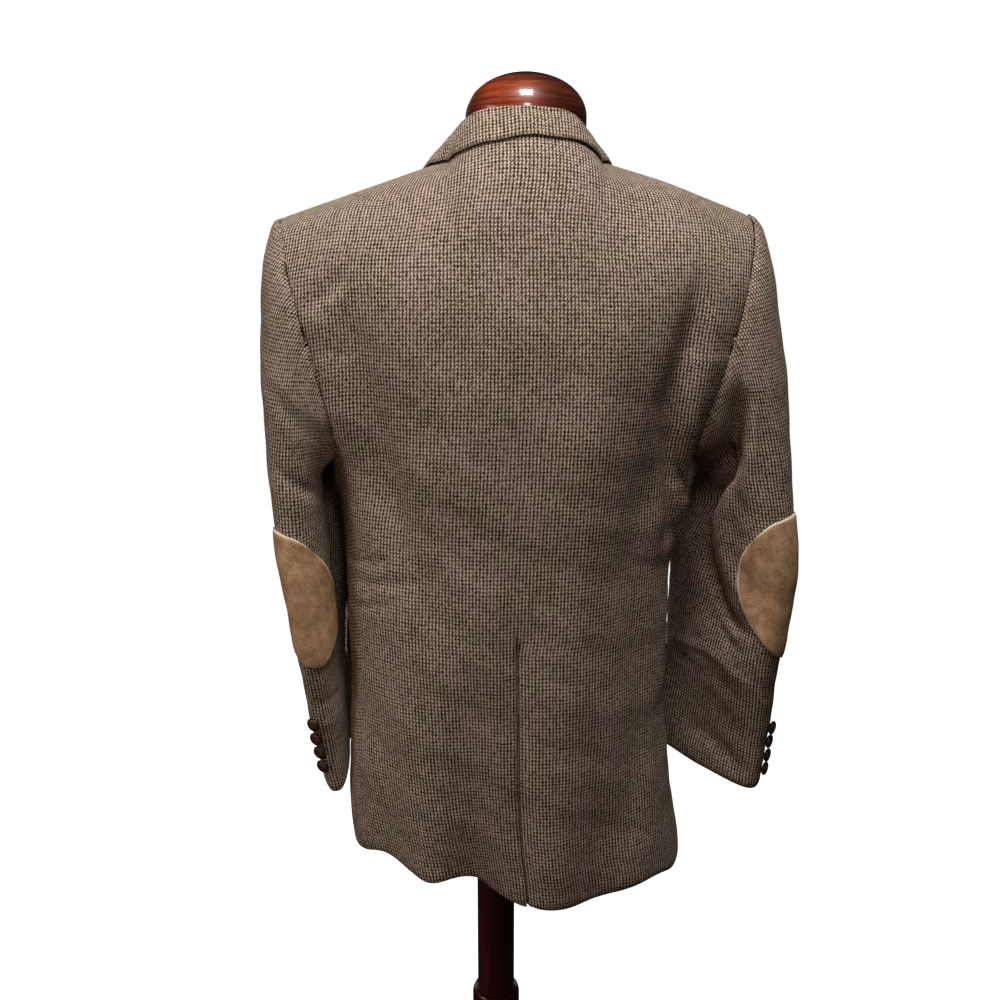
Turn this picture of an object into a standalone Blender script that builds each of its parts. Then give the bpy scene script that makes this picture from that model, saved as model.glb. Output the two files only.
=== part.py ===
"""A man's tweed hacking jacket standing on a limbless dress form.

Metres, +Z up, origin under the middle of the round base. The jacket's front faces -Y and the
wearer's left is +X. Every panel is worked out from rings of the jacket by height, so that panels
which are sewn together share an edge, 0.3 mm apart, and what lies on a panel is moved out from it.
"""
import math

import bmesh
import bpy
import numpy as np
from mathutils import Matrix, Vector

COLLECTION = "tweed_jacket_on_dress_form"

# ---------------------------------------------------------------- cloth
WALL = 0.0018               # tweed with its canvas
SEAM = 0.00022              # each panel's edge stands this far back from its seam
SIDE_SEAM = 0.0004          # more where the cloth bends round
SHOULDER_SEAM = 0.0008      # and where it turns a corner
SLEEVE_SEAM = 0.0008
ARMHOLE_SEAM = 0.0009       # the wall turns a corner at the armhole, so it stands back further
LAID_ON = 0.0012            # from a panel to what lies on it, as its facets are flat
LEFT, RIGHT = 1, -1

# ---------------------------------------------------------------- jacket body
RING_COLUMNS = ("height", "shift", "half_width", "back", "front", "back_edge", "front_edge")
RINGS = (
    (0.700, -0.005, 0.184, 0.130, -0.152, 0.168, 0.154),
    (0.780, -0.0045, 0.1840, 0.128, -0.152, 0.166, 0.152),
    (0.850, 0.0025, 0.1805, 0.127, -0.152, 0.163, 0.150),
    (0.900, 0.0055, 0.1755, 0.127, -0.152, 0.159, 0.148),
    (0.972, 0.007, 0.171, 0.126, -0.150, 0.156, 0.146),
    (1.077, 0.008, 0.169, 0.126, -0.148, 0.154, 0.145),
    (1.160, 0.006, 0.172, 0.127, -0.150, 0.159, 0.148),
    (1.245, 0.002, 0.187, 0.130, -0.154, 0.176, 0.162),
    (1.300, 0.000, 0.220, 0.130, -0.152, 0.187, 0.168),
    (1.380, -0.001, 0.250, 0.130, -0.142, 0.208, 0.180),
    (1.440, -0.001, 0.262, 0.130, -0.126, 0.222, 0.206),
    (1.472, -0.001, 0.268, 0.130, -0.116, 0.2285, 0.2285),
    (1.510, -0.006, 0.268, 0.130, -0.108, 0.2285, 0.2285),
    (1.570, -0.008, 0.268, 0.130, -0.100, 0.2285, 0.2285),
)
WIDEST_Y = 0.012            # a ring is widest just behind the middle
BACK_POWER = 2.3            # a back is squarer than an ellipse
FRONT_POWER = 2.0
UNDERARM = 1.245
UNDERARM_DIP = 0.012        # the side panel's top edge is scooped

TIP_X, TIP_Z = 0.2285, 1.472            # shoulder tip
NECK_X, NECK_Z = 0.072, 1.528           # where the shoulder seam meets the neck
HIGH_SHOULDER = 0.004                   # the right shoulder stands this much higher
NAPE_Y, NAPE_Z = 0.058, 1.556           # centre back of the neck
SHOULDER_Y = (0.005, 0.015)             # shoulder seam, at the neck and at the tip
BACK_ROLL = (0.18, 0.11)                # how far the back rounds over, at the nape and the tip
FRONT_ROLL = (0.13, 0.10)

HEM_COLUMNS = ("angle", "height")       # angle from centre back, + to the wearer's left
HEM = (
    (-180.0, 0.790), (-120.0, 0.775), (-90.0, 0.766), (-70.0, 0.778), (-48.0, 0.7866),
    (-33.0, 0.780), (-18.0, 0.777), (-3.0, 0.7775), (3.0, 0.779), (7.5, 0.785),
    (11.5, 0.793), (15.5, 0.8035), (19.0, 0.807), (36.0, 0.808), (43.0, 0.8165),
    (55.0, 0.8245), (68.0, 0.815), (90.0, 0.790), (120.0, 0.784), (180.0, 0.790),
)

# Lowest, fullest and highest level, centre below and above, reach, and how far out it stands.
BACK_FOLDS = (              # centres and reach as a share of the panel's half width
    (0.60, 0.74, 1.13, 0.30, 0.18, 0.22, -0.019),
    (0.60, 0.74, 1.20, 0.62, 0.50, 0.16, 0.006),
    (0.60, 0.78, 1.05, 0.84, 0.74, 0.12, -0.006),
    (0.60, 0.76, 1.10, -0.20, -0.16, 0.16, 0.004),
    (0.60, 0.78, 1.08, -0.56, -0.44, 0.18, -0.008),
    (1.12, 1.33, 1.45, 0.70, 0.76, 0.14, -0.009),
    (1.08, 1.27, 1.44, -0.72, -0.78, 0.13, -0.011),
    (1.02, 1.14, 1.26, 0.50, 0.62, 0.16, -0.005),
    (0.98, 1.10, 1.24, -0.48, -0.60, 0.16, -0.005),
)
BACK_ANGLE, SIDE_ANGLE = 66.0, 115.0     # where the back and side panels end round the hem
VENT_TOP = 1.066
VENT_LAP = 0.036            # the right panel runs on under the left by this much
VENT_DEEP = 0.0026          # and lies this far inside it
VENT_SHORT = 0.004          # its hidden hem is this much shorter than the left one over it

# ---------------------------------------------------------------- fronts
FRONT_EDGE_COLUMNS = ("height", "reach")    # how far a front runs past the middle
FRONT_EDGE = (
    (0.770, -0.075), (0.800, -0.052), (0.850, -0.022), (0.900, -0.001), (0.950, 0.013),
    (1.010, 0.019), (1.125, 0.020), (1.180, 0.010), (1.300, -0.021), (1.420, -0.053),
    (1.490, -0.069), (1.528, -0.072),
)
UNDER_LAP = 0.0034          # the right front lies under the left
LAP_REACH = 0.034
LAPEL_FROM = 1.128
LAPEL_FROM_RIGHT = 1.186    # the left front hides it below here
LAPEL_COLUMNS = ("height", "width")
LAPEL = (
    (1.128, 0.002), (1.170, 0.024), (1.250, 0.056), (1.330, 0.078), (1.400, 0.090),
    (1.440, 0.094),
)
GORGE = (1.462, 1.432)      # lapel's top edge, at the roll and at the tip
LAPEL_ROLL = 0.0065

FLAP_ANGLES = (84.0, 136.0)
FLAP_TOP = (1.072, 1.100)   # slanted: rear end lower
FLAP_DEPTH = 0.055
FLAP_FLARE = 0.003

# ---------------------------------------------------------------- collar
# The neck seam and the fold by place; the outer edge by plan only, as it lies on the jacket.
COLLAR_COLUMNS = ("along", "seam_x", "seam_y", "seam_z", "fold_x", "fold_y", "fold_z",
                  "edge_x", "edge_y")
COLLAR = (
    (0.0, 0.000, 0.0600, 1.5600, 0.000, 0.0655, 1.5668, 0.000, 0.0870),
    (0.5, 0.022, 0.0575, 1.5585, 0.0215, 0.0630, 1.5658, 0.026, 0.0845),
    (1.0, 0.041, 0.0500, 1.5545, 0.0405, 0.0545, 1.5635, 0.052, 0.0690),
    (2.0, 0.062, 0.0220, 1.5400, 0.0630, 0.0220, 1.5470, 0.084, 0.0240),
    (3.0, 0.063, -0.0340, 1.5225, 0.0640, -0.0360, 1.5320, 0.100, -0.0440),
    (4.0, 0.060, -0.0925, 1.4760, 0.0625, -0.0985, 1.4800, 0.101, -0.0930),
)
COLLAR_LAID_ON = 0.0023
COLLAR_X = -0.0036          # the neck stands a little to the wearer's right
COLLAR_LEFT_IN = (1.5, 0.32, 0.010)     # place, reach and depth of a nip in the left edge
FOLD_RADIUS = 0.0032

# ---------------------------------------------------------------- sleeves
SLEEVE_COLUMNS = ("height", "out", "back", "half_long", "half_short", "turn")
SLEEVE_LEFT = (             # turn: degrees that the elbow edge swings out from straight back
    (0.885, 0.1994, -0.014, 0.062, 0.0135, -4.0),
    (0.915, 0.2022, -0.012, 0.064, 0.0164, -2.0),
    (1.000, 0.2068, -0.006, 0.073, 0.0186, 3.0),
    (1.075, 0.2096, 0.000, 0.079, 0.0206, 7.0),
    (1.150, 0.2130, 0.002, 0.081, 0.0250, 8.0),
    (1.215, 0.2176, 0.002, 0.082, 0.0282, 6.0),
)
SLEEVE_RIGHT = (
    (0.874, 0.2260, 0.003, 0.061, 0.0200, 41.0),
    (0.940, 0.2300, 0.004, 0.067, 0.0235, 36.5),
    (1.020, 0.2305, 0.008, 0.076, 0.0285, 30.0),
    (1.100, 0.2350, 0.010, 0.080, 0.0340, 28.0),
    (1.161, 0.2400, 0.008, 0.082, 0.0385, 15.0),
    (1.215, 0.2385, 0.004, 0.083, 0.0410, 8.0),
)
SLEEVE_POWER = 2.6          # an empty sleeve is a flattened tube, squarer than an ellipse
CUFF_TILT = 0.010           # the cuff's elbow edge hangs this much below its middle
CAP_FULL = 0.085            # how far the sleeve head pushes out before it falls
# Degrees round the sleeve, closer together at its two edges: 0 out, 90 elbow, 180 body.
SLEEVE_TOP = (-110.0, -100.0, -88.0, -68.0, -42.0, -14.0, 14.0, 40.0, 60.0, 72.0, 80.0, 86.0,
              91.0, 96.0)
SLEEVE_UNDER = (96.0, 102.0, 112.0, 128.0, 150.0, 178.0, 206.0, 230.0, 243.0, 250.0)
ARMHOLE_SHARES = (0.41, 0.59)           # share of the armhole where its bottom starts and ends

# Middle and half height, angle, lean at its ends, reach to each side, more towards the body.
PATCH_LEFT = (1.103, 0.073, 88.0, -31.0, 81.0, 0.0)
PATCH_RIGHT = (1.104, 0.080, 54.0, 5.0, 79.0, 18.0)
PATCH_POWER = 2.2
PATCH_WALL = 0.0014

# ---------------------------------------------------------------- buttons
CUFF_BUTTON = (0.0078, 0.0030)          # radius, half thickness
FRONT_BUTTON = (0.0105, 0.0036)
CUFF_BUTTON_ANGLE = {LEFT: 76.0, RIGHT: 80.0}
CUFF_BUTTON_FIRST = {LEFT: 0.033, RIGHT: 0.023}     # above the cuff's edge
CUFF_BUTTON_STEP = 0.0165
CUFF_BUTTONS = 4
BUTTON_GAP = 0.0001
FRONT_BUTTON_HEIGHTS = (1.115, 1.010)
FRONT_BUTTON_X = 0.000

# ---------------------------------------------------------------- dress form
FORM_BOTTOM = 0.870
FORM_SHOULDER_DROP = 0.0036             # below the cloth's outside
FORM_CLEAR = (0.030, 0.010)             # inside the cloth at the waist and below, and above
FORM_ARM_X = 0.186
FORM_NECK = (-0.005, -0.006, 0.0490)    # x, y, radius
NECK_FROM, NECK_TO = 1.500, 1.5517
CAP_FOOT = 1.5520
CAP_X, CAP_Y, CAP_RADIUS = -0.0100, -0.006, 0.0600
CAP_SIDE_TOP = 1.568
CAP_DOME = 0.0418
POLE_X, POLE_Y, POLE_RADIUS = 0.0195, -0.005, 0.0218
RING_TOP, RING_HEIGHT, RING_RADIUS = 0.577, 0.034, 0.0280
BASE_RADIUS, BASE_HEIGHT, BASE_STEP = 0.190, 0.030, 0.012
REST_GAP = 0.0003


# ---------------------------------------------------------------- numbers
def column(table, names, name):
    """One named column of a table, as an array."""
    return np.array([row[names.index(name)] for row in table])


def smooth(table, names, name, at):
    """A named column read at any value of the table's first column, along a smooth curve."""
    xs = column(table, names, names[0])
    ys = column(table, names, name)
    at = np.clip(np.asarray(at, dtype=float), xs[0], xs[-1])
    slopes = np.gradient(ys, xs)
    k = np.clip(np.searchsorted(xs, at, side="right") - 1, 0, len(xs) - 2)
    step = xs[k + 1] - xs[k]
    t = (at - xs[k]) / step
    ease = t * t * (3.0 - 2.0 * t)
    lead = t * (1.0 - t) ** 2 * step * slopes[k]
    trail = t * t * (t - 1.0) * step * slopes[k + 1]
    return ys[k] + (ys[k + 1] - ys[k]) * ease + lead + trail


def ring(name, height):
    return smooth(RINGS, RING_COLUMNS, name, height)


def ramp(low, high, at):
    """0 below low, 1 above high, smooth between; low may be the greater."""
    t = np.clip((at - low) / (high - low), 0.0, 1.0)
    return t * t * (3.0 - 2.0 * t)


def mix(a, b, t):
    return a + (b - a) * t


def power_of(wave, power):
    """A sine or cosine for a squarer round: a superellipse of this power."""
    return np.sign(wave) * np.abs(wave) ** (2.0 / power)


# ---------------------------------------------------------------- the jacket's surface
def top_height(x):
    """Height of the neck and shoulder seam above a point x from the middle."""
    to_right = -x
    x = np.abs(x)
    neck = mix(NAPE_Z, NECK_Z, np.clip(x / NECK_X, 0.0, 1.0) ** 2)
    slope = (TIP_Z - NECK_Z) / (TIP_X - NECK_X)
    lift = HIGH_SHOULDER * ramp(NECK_X, 0.5 * (NECK_X + TIP_X), to_right)
    return np.where(x < NECK_X, neck, NECK_Z + slope * (x - NECK_X) + lift)


def top_depth(x):
    """y of the neck and shoulder seam."""
    x = np.abs(x)
    neck = mix(SHOULDER_Y[0], NAPE_Y, np.sqrt(np.clip(1.0 - (x / NECK_X) ** 2, 0.0, 1.0)))
    along = np.clip((x - NECK_X) / (TIP_X - NECK_X), 0.0, 1.2)
    return np.where(x < NECK_X, neck, mix(SHOULDER_Y[0], SHOULDER_Y[1], along))


def rounding(x, z, roll):
    """How far the cloth has come down from the shoulder seam: 0 on it, 1 where it hangs."""
    share = np.clip(np.abs(x) / TIP_X, 0.0, 1.0)
    reach = mix(roll[0], roll[1], share)
    down = np.clip((top_height(x) - z) / reach, 0.0, 1.0)
    return np.sqrt(np.clip(1.0 - (1.0 - down) ** 2, 0.0, 1.0))


def section(x, z, depth, power):
    """Depth of a ring from its widest line, at x from the middle."""
    share = np.clip(np.abs(x) / ring("half_width", z), 0.0, 1.0)
    return depth * (1.0 - share ** power) ** (1.0 / power)


def fold_out(share, z):
    """How far the back's folds stand out at a share of its half width."""
    out = np.zeros(np.broadcast(share, z).shape)
    for low, peak, high, centre_low, centre_high, reach, depth in BACK_FOLDS:
        centre = mix(centre_low, centre_high, np.clip((z - low) / (high - low), 0.0, 1.0))
        fade = ramp(low, peak, z) * ramp(high, peak, z)
        out = out + depth * fade * np.exp(-((share - centre) / reach) ** 2)
    return out * ramp(1.0, 0.86, np.abs(share))


def back_y(x, z):
    """y of the back's outside, x measured from the ring's own middle."""
    hang = WIDEST_Y + section(x, z, ring("back", z) - WIDEST_Y, BACK_POWER)
    hang = hang + fold_out(x / ring("back_edge", z), z)
    return mix(top_depth(x), hang, rounding(x, z, BACK_ROLL))


def front_y(x, z):
    """y of the front's outside."""
    hang = WIDEST_Y - section(x, z, WIDEST_Y - ring("front", z), FRONT_POWER)
    return mix(top_depth(x) * ramp(NECK_X * 0.6, NECK_X, np.abs(x)), hang,
               rounding(x, z, FRONT_ROLL))


def cloth_height(x, y):
    """Height of the jacket's outside over a point of the plan, x from the ring's middle."""
    x, y = np.broadcast_arrays(np.asarray(x, float), np.asarray(y, float))
    high = top_height(x)
    low = high - 0.12
    behind = y > top_depth(x)
    for _ in range(30):
        z = 0.5 * (low + high)
        covered = np.where(behind, back_y(x, z) < y, front_y(x, z) > y)
        high = np.where(covered, z, high)
        low = np.where(covered, low, z)
    return 0.5 * (low + high)


def above_cloth(x, y, out):
    """A point this far out from the jacket, over a point of the plan in the world."""
    step = 0.001
    middle = ring("shift", cloth_height(x - ring("shift", NECK_Z), y))
    z = cloth_height(x - middle, y)
    across = (cloth_height(x - middle + step, y) - cloth_height(x - middle - step, y)) / step / 2.0
    along = (cloth_height(x - middle, y + step) - cloth_height(x - middle, y - step)) / step / 2.0
    length = np.sqrt(across ** 2 + along ** 2 + 1.0)
    place = (x - out * across / length, y - out * along / length, z + out / length)
    return np.stack(np.broadcast_arrays(*place), axis=-1)


def hem_height(angle):
    return smooth(HEM, HEM_COLUMNS, "height", angle)


def edge_angle(name, z, power):
    """Angle round the ring, from centre back or centre front, of a panel's side edge."""
    return np.arcsin(np.clip(ring(name, z) / ring("half_width", z), 0.0, 1.0) ** (power / 2.0))


def ring_point(angle, z, out=0.0):
    """A point of the hanging ring at an angle (radians) from centre back, moved out."""
    wide = ring("half_width", z)
    behind = np.cos(angle) > 0.0
    power = np.where(behind, BACK_POWER, FRONT_POWER)
    depth = np.where(behind, ring("back", z) - WIDEST_Y, WIDEST_Y - ring("front", z))
    across = power_of(np.sin(angle), power)
    along = power_of(np.cos(angle), power)
    length = np.hypot(across / wide, along / depth)
    x = wide * across + out * across / wide / length + ring("shift", z)
    y = WIDEST_Y + depth * along + out * along / depth / length
    return np.stack(np.broadcast_arrays(x, y, z), axis=-1)


# ---------------------------------------------------------------- panels as grids of points
def panel_height(low, high, up):
    """up: 0 at the hem, 1 level with the underarm, 2 at the shoulder seam."""
    return np.where(up < 1.0, mix(low, UNDERARM, up), mix(UNDERARM, high, up - 1.0))


def back_grid(side, across, up):
    """across: 0 at centre back to 1 at the side edge; up as in panel_height."""
    share = np.sin(across * math.radians(BACK_ANGLE)) / math.sin(math.radians(BACK_ANGLE))
    top_x = share * TIP_X
    low = hem_height(side * np.degrees(across * math.radians(BACK_ANGLE)))
    z = panel_height(low, top_height(side * top_x), up)
    x = share * ring("back_edge", z)
    y = back_y(side * x, z)
    return np.stack(np.broadcast_arrays(side * x + ring("shift", z), y, z), axis=-1)


def front_grid(side, across, up):
    """across: 0 at the front edge to 1 at the side edge; up as in panel_height."""
    share = across ** 0.9
    top_x = mix(NECK_X, TIP_X, share)
    low = mix(hem_height(side * 180.0), hem_height(side * SIDE_ANGLE), ramp(0.0, 1.0, share))
    z = panel_height(low, top_height(side * top_x), up)
    edge = -smooth(FRONT_EDGE, FRONT_EDGE_COLUMNS, "reach", z)
    edge = mix(edge, NECK_X, ramp(1.3, 2.0, up) * ramp(0.0, 0.12, share))
    x = mix(edge, ring("front_edge", z), share)
    y = front_y(side * x, z)
    if side == RIGHT:
        y = y + under_lap(x, z)
    return np.stack(np.broadcast_arrays(side * x + ring("shift", z), y, z), axis=-1)


def under_lap(x, z):
    """How far the right front lies in, under the left one."""
    return UNDER_LAP * ramp(LAP_REACH, 0.5 * LAP_REACH, x) * ramp(1.30, 1.24, z)


def side_grid(side, across, up):
    """The panel under the arm. across: 0 at the back panel to 1 at the front."""
    low = mix(hem_height(side * BACK_ANGLE), hem_height(side * SIDE_ANGLE), across)
    high = UNDERARM - UNDERARM_DIP * np.sin(math.pi * across)
    z = mix(low, high, up)
    start = edge_angle("back_edge", z, BACK_POWER)
    end = math.pi - edge_angle("front_edge", z, FRONT_POWER)
    points = ring_point(mix(start, end, across), z)
    mirrored = points[..., 0] - ring("shift", z)
    points[..., 0] = side * mirrored + ring("shift", z)
    return points


def grid(function, side, across, up):
    return function(side, np.asarray(across)[None, :], np.asarray(up)[:, None])


def stand_back(points, sides):
    """Moves edge rows of a grid in along the cloth. sides: 'low', 'high', 'first', 'last'."""
    points = points.copy()
    places = {"low": (0, slice(None)), "high": (-1, slice(None)),
              "first": (slice(None), 0), "last": (slice(None), -1)}
    inner = {"low": (1, slice(None)), "high": (-2, slice(None)),
             "first": (slice(None), 1), "last": (slice(None), -2)}
    for name, amount in sides.items():
        inward = points[inner[name]] - points[places[name]]
        length = np.linalg.norm(inward, axis=-1, keepdims=True)
        points[places[name]] += inward / np.maximum(length, 1e-9) * np.broadcast_to(
            np.reshape(amount, (-1, 1)), length.shape)
    return points


# ---------------------------------------------------------------- sleeves
def armhole(side, around):
    """The armhole seam: 0 at the shoulder tip, down the back, under the arm and up the front."""
    start, end = ARMHOLE_SHARES
    around = np.asarray(around, dtype=float)
    fall = np.clip(np.where(around < 0.5, around / start, (1.0 - around) / (1.0 - end)), 0.0, 1.0)
    tip = top_height(side * TIP_X)
    z = tip - (tip - UNDERARM) * (1.0 - np.cos(fall * math.pi / 2.0)) ** 0.9
    back_x = ring("back_edge", z)
    front_x = ring("front_edge", z)
    back = np.stack((back_x, back_y(side * back_x, z), z), axis=-1)
    front = np.stack((front_x, front_y(side * front_x, z), z), axis=-1)
    under_share = np.clip((around - start) / (end - start), 0.0, 1.0)
    under = side_grid(LEFT, under_share, np.ones_like(around))
    under[..., 0] -= ring("shift", under[..., 2])
    points = np.where((around <= start)[..., None], back, np.where((around >= end)[..., None],
                                                                   front, under))
    points[..., 0] = side * points[..., 0] + ring("shift", points[..., 2])
    return points


def sleeve_table(side):
    return SLEEVE_LEFT if side == LEFT else SLEEVE_RIGHT


def tube_point(side, angle, height):
    """A point of the hanging sleeve. angle in degrees: 0 away from the body, 90 the elbow."""
    table = sleeve_table(side)
    read = {name: smooth(table, SLEEVE_COLUMNS, name, height) for name in SLEEVE_COLUMNS[1:]}
    turn = np.radians(read["turn"])
    round_ = np.radians(angle)
    short = read["half_short"] * power_of(np.cos(round_), SLEEVE_POWER)
    long = read["half_long"] * power_of(np.sin(round_), SLEEVE_POWER)
    out = read["out"] + short * np.cos(turn) + long * np.sin(turn)
    y = read["back"] - short * np.sin(turn) + long * np.cos(turn)
    cuff = table[0][0]
    tilt = CUFF_TILT * np.sin(round_) * ramp(cuff + 0.2, cuff, height)
    return np.stack(np.broadcast_arrays(side * out, y, height - tilt), axis=-1)


def sleeve_point(side, angle, along):
    """along: 0 at the armhole, 1 at the top of the hanging tube, 2 at the cuff."""
    angle, along = np.broadcast_arrays(np.asarray(angle, float), np.asarray(along, float))
    table = sleeve_table(side)
    top, cuff = table[-1][0], table[0][0]
    hanging = tube_point(side, angle, mix(top, cuff, np.clip(along - 1.0, 0.0, 1.0)))
    start = armhole(side, (angle % 360.0) / 360.0)
    end = tube_point(side, angle, np.full(angle.shape, top))
    below = tube_point(side, angle, np.full(angle.shape, top - 0.02))
    fall = (end - below) / np.linalg.norm(end - below, axis=-1, keepdims=True)
    drop = (start - end)[..., 2:3]
    up_share = (0.5 + 0.5 * np.cos(np.radians(angle)))[..., None]
    out = np.zeros(start.shape)
    out[..., 0] = side * mix(0.030, CAP_FULL, up_share[..., 0] ** 1.5)
    out[..., 1] = 0.030 * np.sin(np.radians(angle))
    out[..., 2] = -0.010 - 0.5 * drop[..., 0] * (1.0 - up_share[..., 0])
    t = np.clip(along, 0.0, 1.0)[..., None]
    h00 = 2 * t ** 3 - 3 * t ** 2 + 1
    h10 = t ** 3 - 2 * t ** 2 + t
    h01 = 3 * t ** 2 - 2 * t ** 3
    h11 = t ** 3 - t ** 2
    falling = -fall * (0.6 * drop + 0.02)
    head = h00 * start + h10 * out + h01 * end + h11 * falling
    return np.where((along >= 1.0)[..., None], hanging, head)


def normals(function, u, v, flip=1.0):
    """Outward normals of a surface function of two parameters, by small steps."""
    step = 1e-3
    du = function(u + step, v) - function(u - step, v)
    dv = function(u, v + step * 0.05) - function(u, v - step * 0.05)
    cross = np.cross(du, dv) * flip
    return cross / np.linalg.norm(cross, axis=-1, keepdims=True)


def height_to_along(side, height):
    table = sleeve_table(side)
    return 1.0 + (table[-1][0] - height) / (table[-1][0] - table[0][0])


# ---------------------------------------------------------------- making objects
def clear_scene():
    for old in list(bpy.data.objects):
        bpy.data.objects.remove(old, do_unlink=True)


def principled(name, colour, roughness, metallic=0.0):
    material = bpy.data.materials.new(name)
    material.use_nodes = True
    shader = material.node_tree.nodes["Principled BSDF"]
    shader.inputs["Base Color"].default_value = (*colour, 1.0)
    shader.inputs["Roughness"].default_value = roughness
    shader.inputs["Metallic"].default_value = metallic
    material.diffuse_color = (*colour, 1.0)
    return material


def make_object(name, mesh, material):
    mesh.materials.append(material)
    item = bpy.data.objects.new(name, mesh)
    bpy.data.collections[COLLECTION].objects.link(item)
    return item


def shade(item, degrees=40.0):
    item.data.shade_smooth()
    item.data.set_sharp_from_angle(angle=math.radians(degrees))


def cloth(name, points, material, wall=WALL, outward=None, skip=None):
    """A panel: an open grid of points, given its wall inwards by Solidify."""
    rows, columns = points.shape[:2]
    faces = []
    for i in range(rows - 1):
        for j in range(columns - 1):
            if skip is None or not skip(i, j):
                k = i * columns + j
                faces.append((k, k + 1, k + columns + 1, k + columns))
    used = sorted({index for face in faces for index in face})
    number = {old: new for new, old in enumerate(used)}
    flat = points.reshape(-1, 3)
    mesh = bpy.data.meshes.new(name)
    mesh.from_pydata([tuple(flat[old]) for old in used], [],
                     [tuple(number[old] for old in face) for face in faces])
    mesh.update()
    corner = (rows // 2) * columns + columns // 2
    middle = mesh.polygons[[face[0] for face in faces].index(corner)]
    if outward is not None and middle.normal.dot(Vector(outward)) < 0.0:
        mesh.flip_normals()
    item = make_object(name, mesh, material)
    solid = item.modifiers.new("wall", "SOLIDIFY")
    solid.thickness = wall
    solid.offset = -1.0
    shade(item)
    return item


def turned(name, profile, material, place, steps=32, closed=False):
    """A turned piece: its profile, from the top down, with a Screw modifier."""
    mesh = bpy.data.meshes.new(name)
    points = [(max(radius, 0.0), 0.0, height) for radius, height in profile]
    edges = [(k, k + 1) for k in range(len(points) - 1)]
    if closed:
        edges.append((len(points) - 1, 0))
    mesh.from_pydata(points, edges, [])
    item = make_object(name, mesh, material)
    item.location = place
    screw = item.modifiers.new("turn", "SCREW")
    screw.steps = steps
    screw.render_steps = steps
    screw.use_merge_vertices = True
    screw.merge_threshold = 0.00001
    screw.use_smooth_shade = True
    return item


def button(name, centre, facing, size, material):
    """A domed button: a flattened ball, turned to face out of the cloth."""
    radius, half = size
    shape = bmesh.new()
    bmesh.ops.create_uvsphere(shape, u_segments=14, v_segments=6, radius=1.0)
    turn = Vector(facing).to_track_quat("Z", "Y").to_matrix().to_4x4()
    scale = Matrix.Diagonal((radius, radius, half, 1.0))
    bmesh.ops.transform(shape, matrix=Matrix.Translation(centre) @ turn @ scale,
                        verts=shape.verts)
    mesh = bpy.data.meshes.new(name)
    shape.to_mesh(mesh)
    shape.free()
    item = make_object(name, mesh, material)
    shade(item, 60.0)
    return item


# ---------------------------------------------------------------- jacket pieces
ROWS_BELOW = np.linspace(0.0, 1.0, 16)
ROWS_ABOVE = 2.0 - np.linspace(1.0, 0.0, 10) ** 1.7
ROWS_UP = np.concatenate([ROWS_BELOW, ROWS_ABOVE[1:]])
ACROSS_BACK = np.linspace(0.0, 1.0, 13)
ACROSS_FRONT = np.linspace(0.0, 1.0, 10)


def armhole_gaps(points, seam_height=UNDERARM):
    """How far each point of a side edge stands back: more where it is an armhole."""
    return mix(SIDE_SEAM, ARMHOLE_SEAM, ramp(seam_height - 0.012, seam_height + 0.004,
                                         points[:, -1, 2]))


def centre_gaps(points):
    """The centre seam's two sides bend away from each other at the nape."""
    return mix(SEAM, SHOULDER_SEAM, ramp(1.42, 1.54, points[:, 0, 2]))


def make_back_left(material):
    points = grid(back_grid, LEFT, ACROSS_BACK, ROWS_UP)
    points = stand_back(points, {"first": centre_gaps(points), "last": armhole_gaps(points),
                                 "high": SHOULDER_SEAM})
    return cloth("back_left", points, material, outward=(0, 1, 0))


def lap_height(lap, z):
    """Heights of the strip that lies hidden under the left panel, drawn up short of its hem."""
    share = lap / ring("back_edge", z[0]) * math.sin(math.radians(BACK_ANGLE))
    low = hem_height(math.degrees(math.asin(share))) + VENT_SHORT
    drawn = VENT_TOP - (VENT_TOP - z) * (VENT_TOP - low) / (VENT_TOP - z[0])
    return np.where(z < VENT_TOP, drawn, z)


def make_back_right(material):
    """The right back runs on under the left below the vent's top, a wall's depth inside it."""
    points = grid(back_grid, RIGHT, ACROSS_BACK, ROWS_UP)
    points = stand_back(points, {"first": centre_gaps(points), "last": armhole_gaps(points),
                                 "high": SHOULDER_SEAM})
    laps = [VENT_LAP, 0.5 * VENT_LAP]
    under = []
    for lap in laps:
        strip = points[:, 0, :].copy()
        strip[:, 0] += lap
        strip[:, 2] = lap_height(lap, strip[:, 2])
        strip[:, 1] = back_y(strip[:, 0] - ring("shift", strip[:, 2]), strip[:, 2])
        under.append(strip)
    wide = np.concatenate([np.stack(under, axis=1), points], axis=1)
    near = ramp(-0.030, -0.004, wide[..., 0] - ring("shift", wide[..., 2]))
    deep = VENT_DEEP * ramp(VENT_TOP + 0.05, VENT_TOP + 0.008, wide[..., 2]) * near
    wide[..., 1] -= deep
    heights = points[:, 0, 2]
    lap_rows = int(np.sum(heights < VENT_TOP)) - 1

    def above_vent(i, j):
        return j < len(laps) and i >= lap_rows
    return cloth("back_right", wide, material, outward=(0, 1, 0), skip=above_vent)


def make_side(side, name, material):
    points = grid(side_grid, side, np.linspace(0.0, 1.0, 6), ROWS_BELOW)
    points = stand_back(points, {"first": SIDE_SEAM, "last": SIDE_SEAM, "high": ARMHOLE_SEAM})
    return cloth(name, points, material, outward=(side, 0, 0))


def make_front(side, name, material):
    points = grid(front_grid, side, ACROSS_FRONT, ROWS_UP)
    points = stand_back(points, {"last": armhole_gaps(points), "high": SHOULDER_SEAM})
    return cloth(name, points, material, outward=(0, -1, 0))


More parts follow.
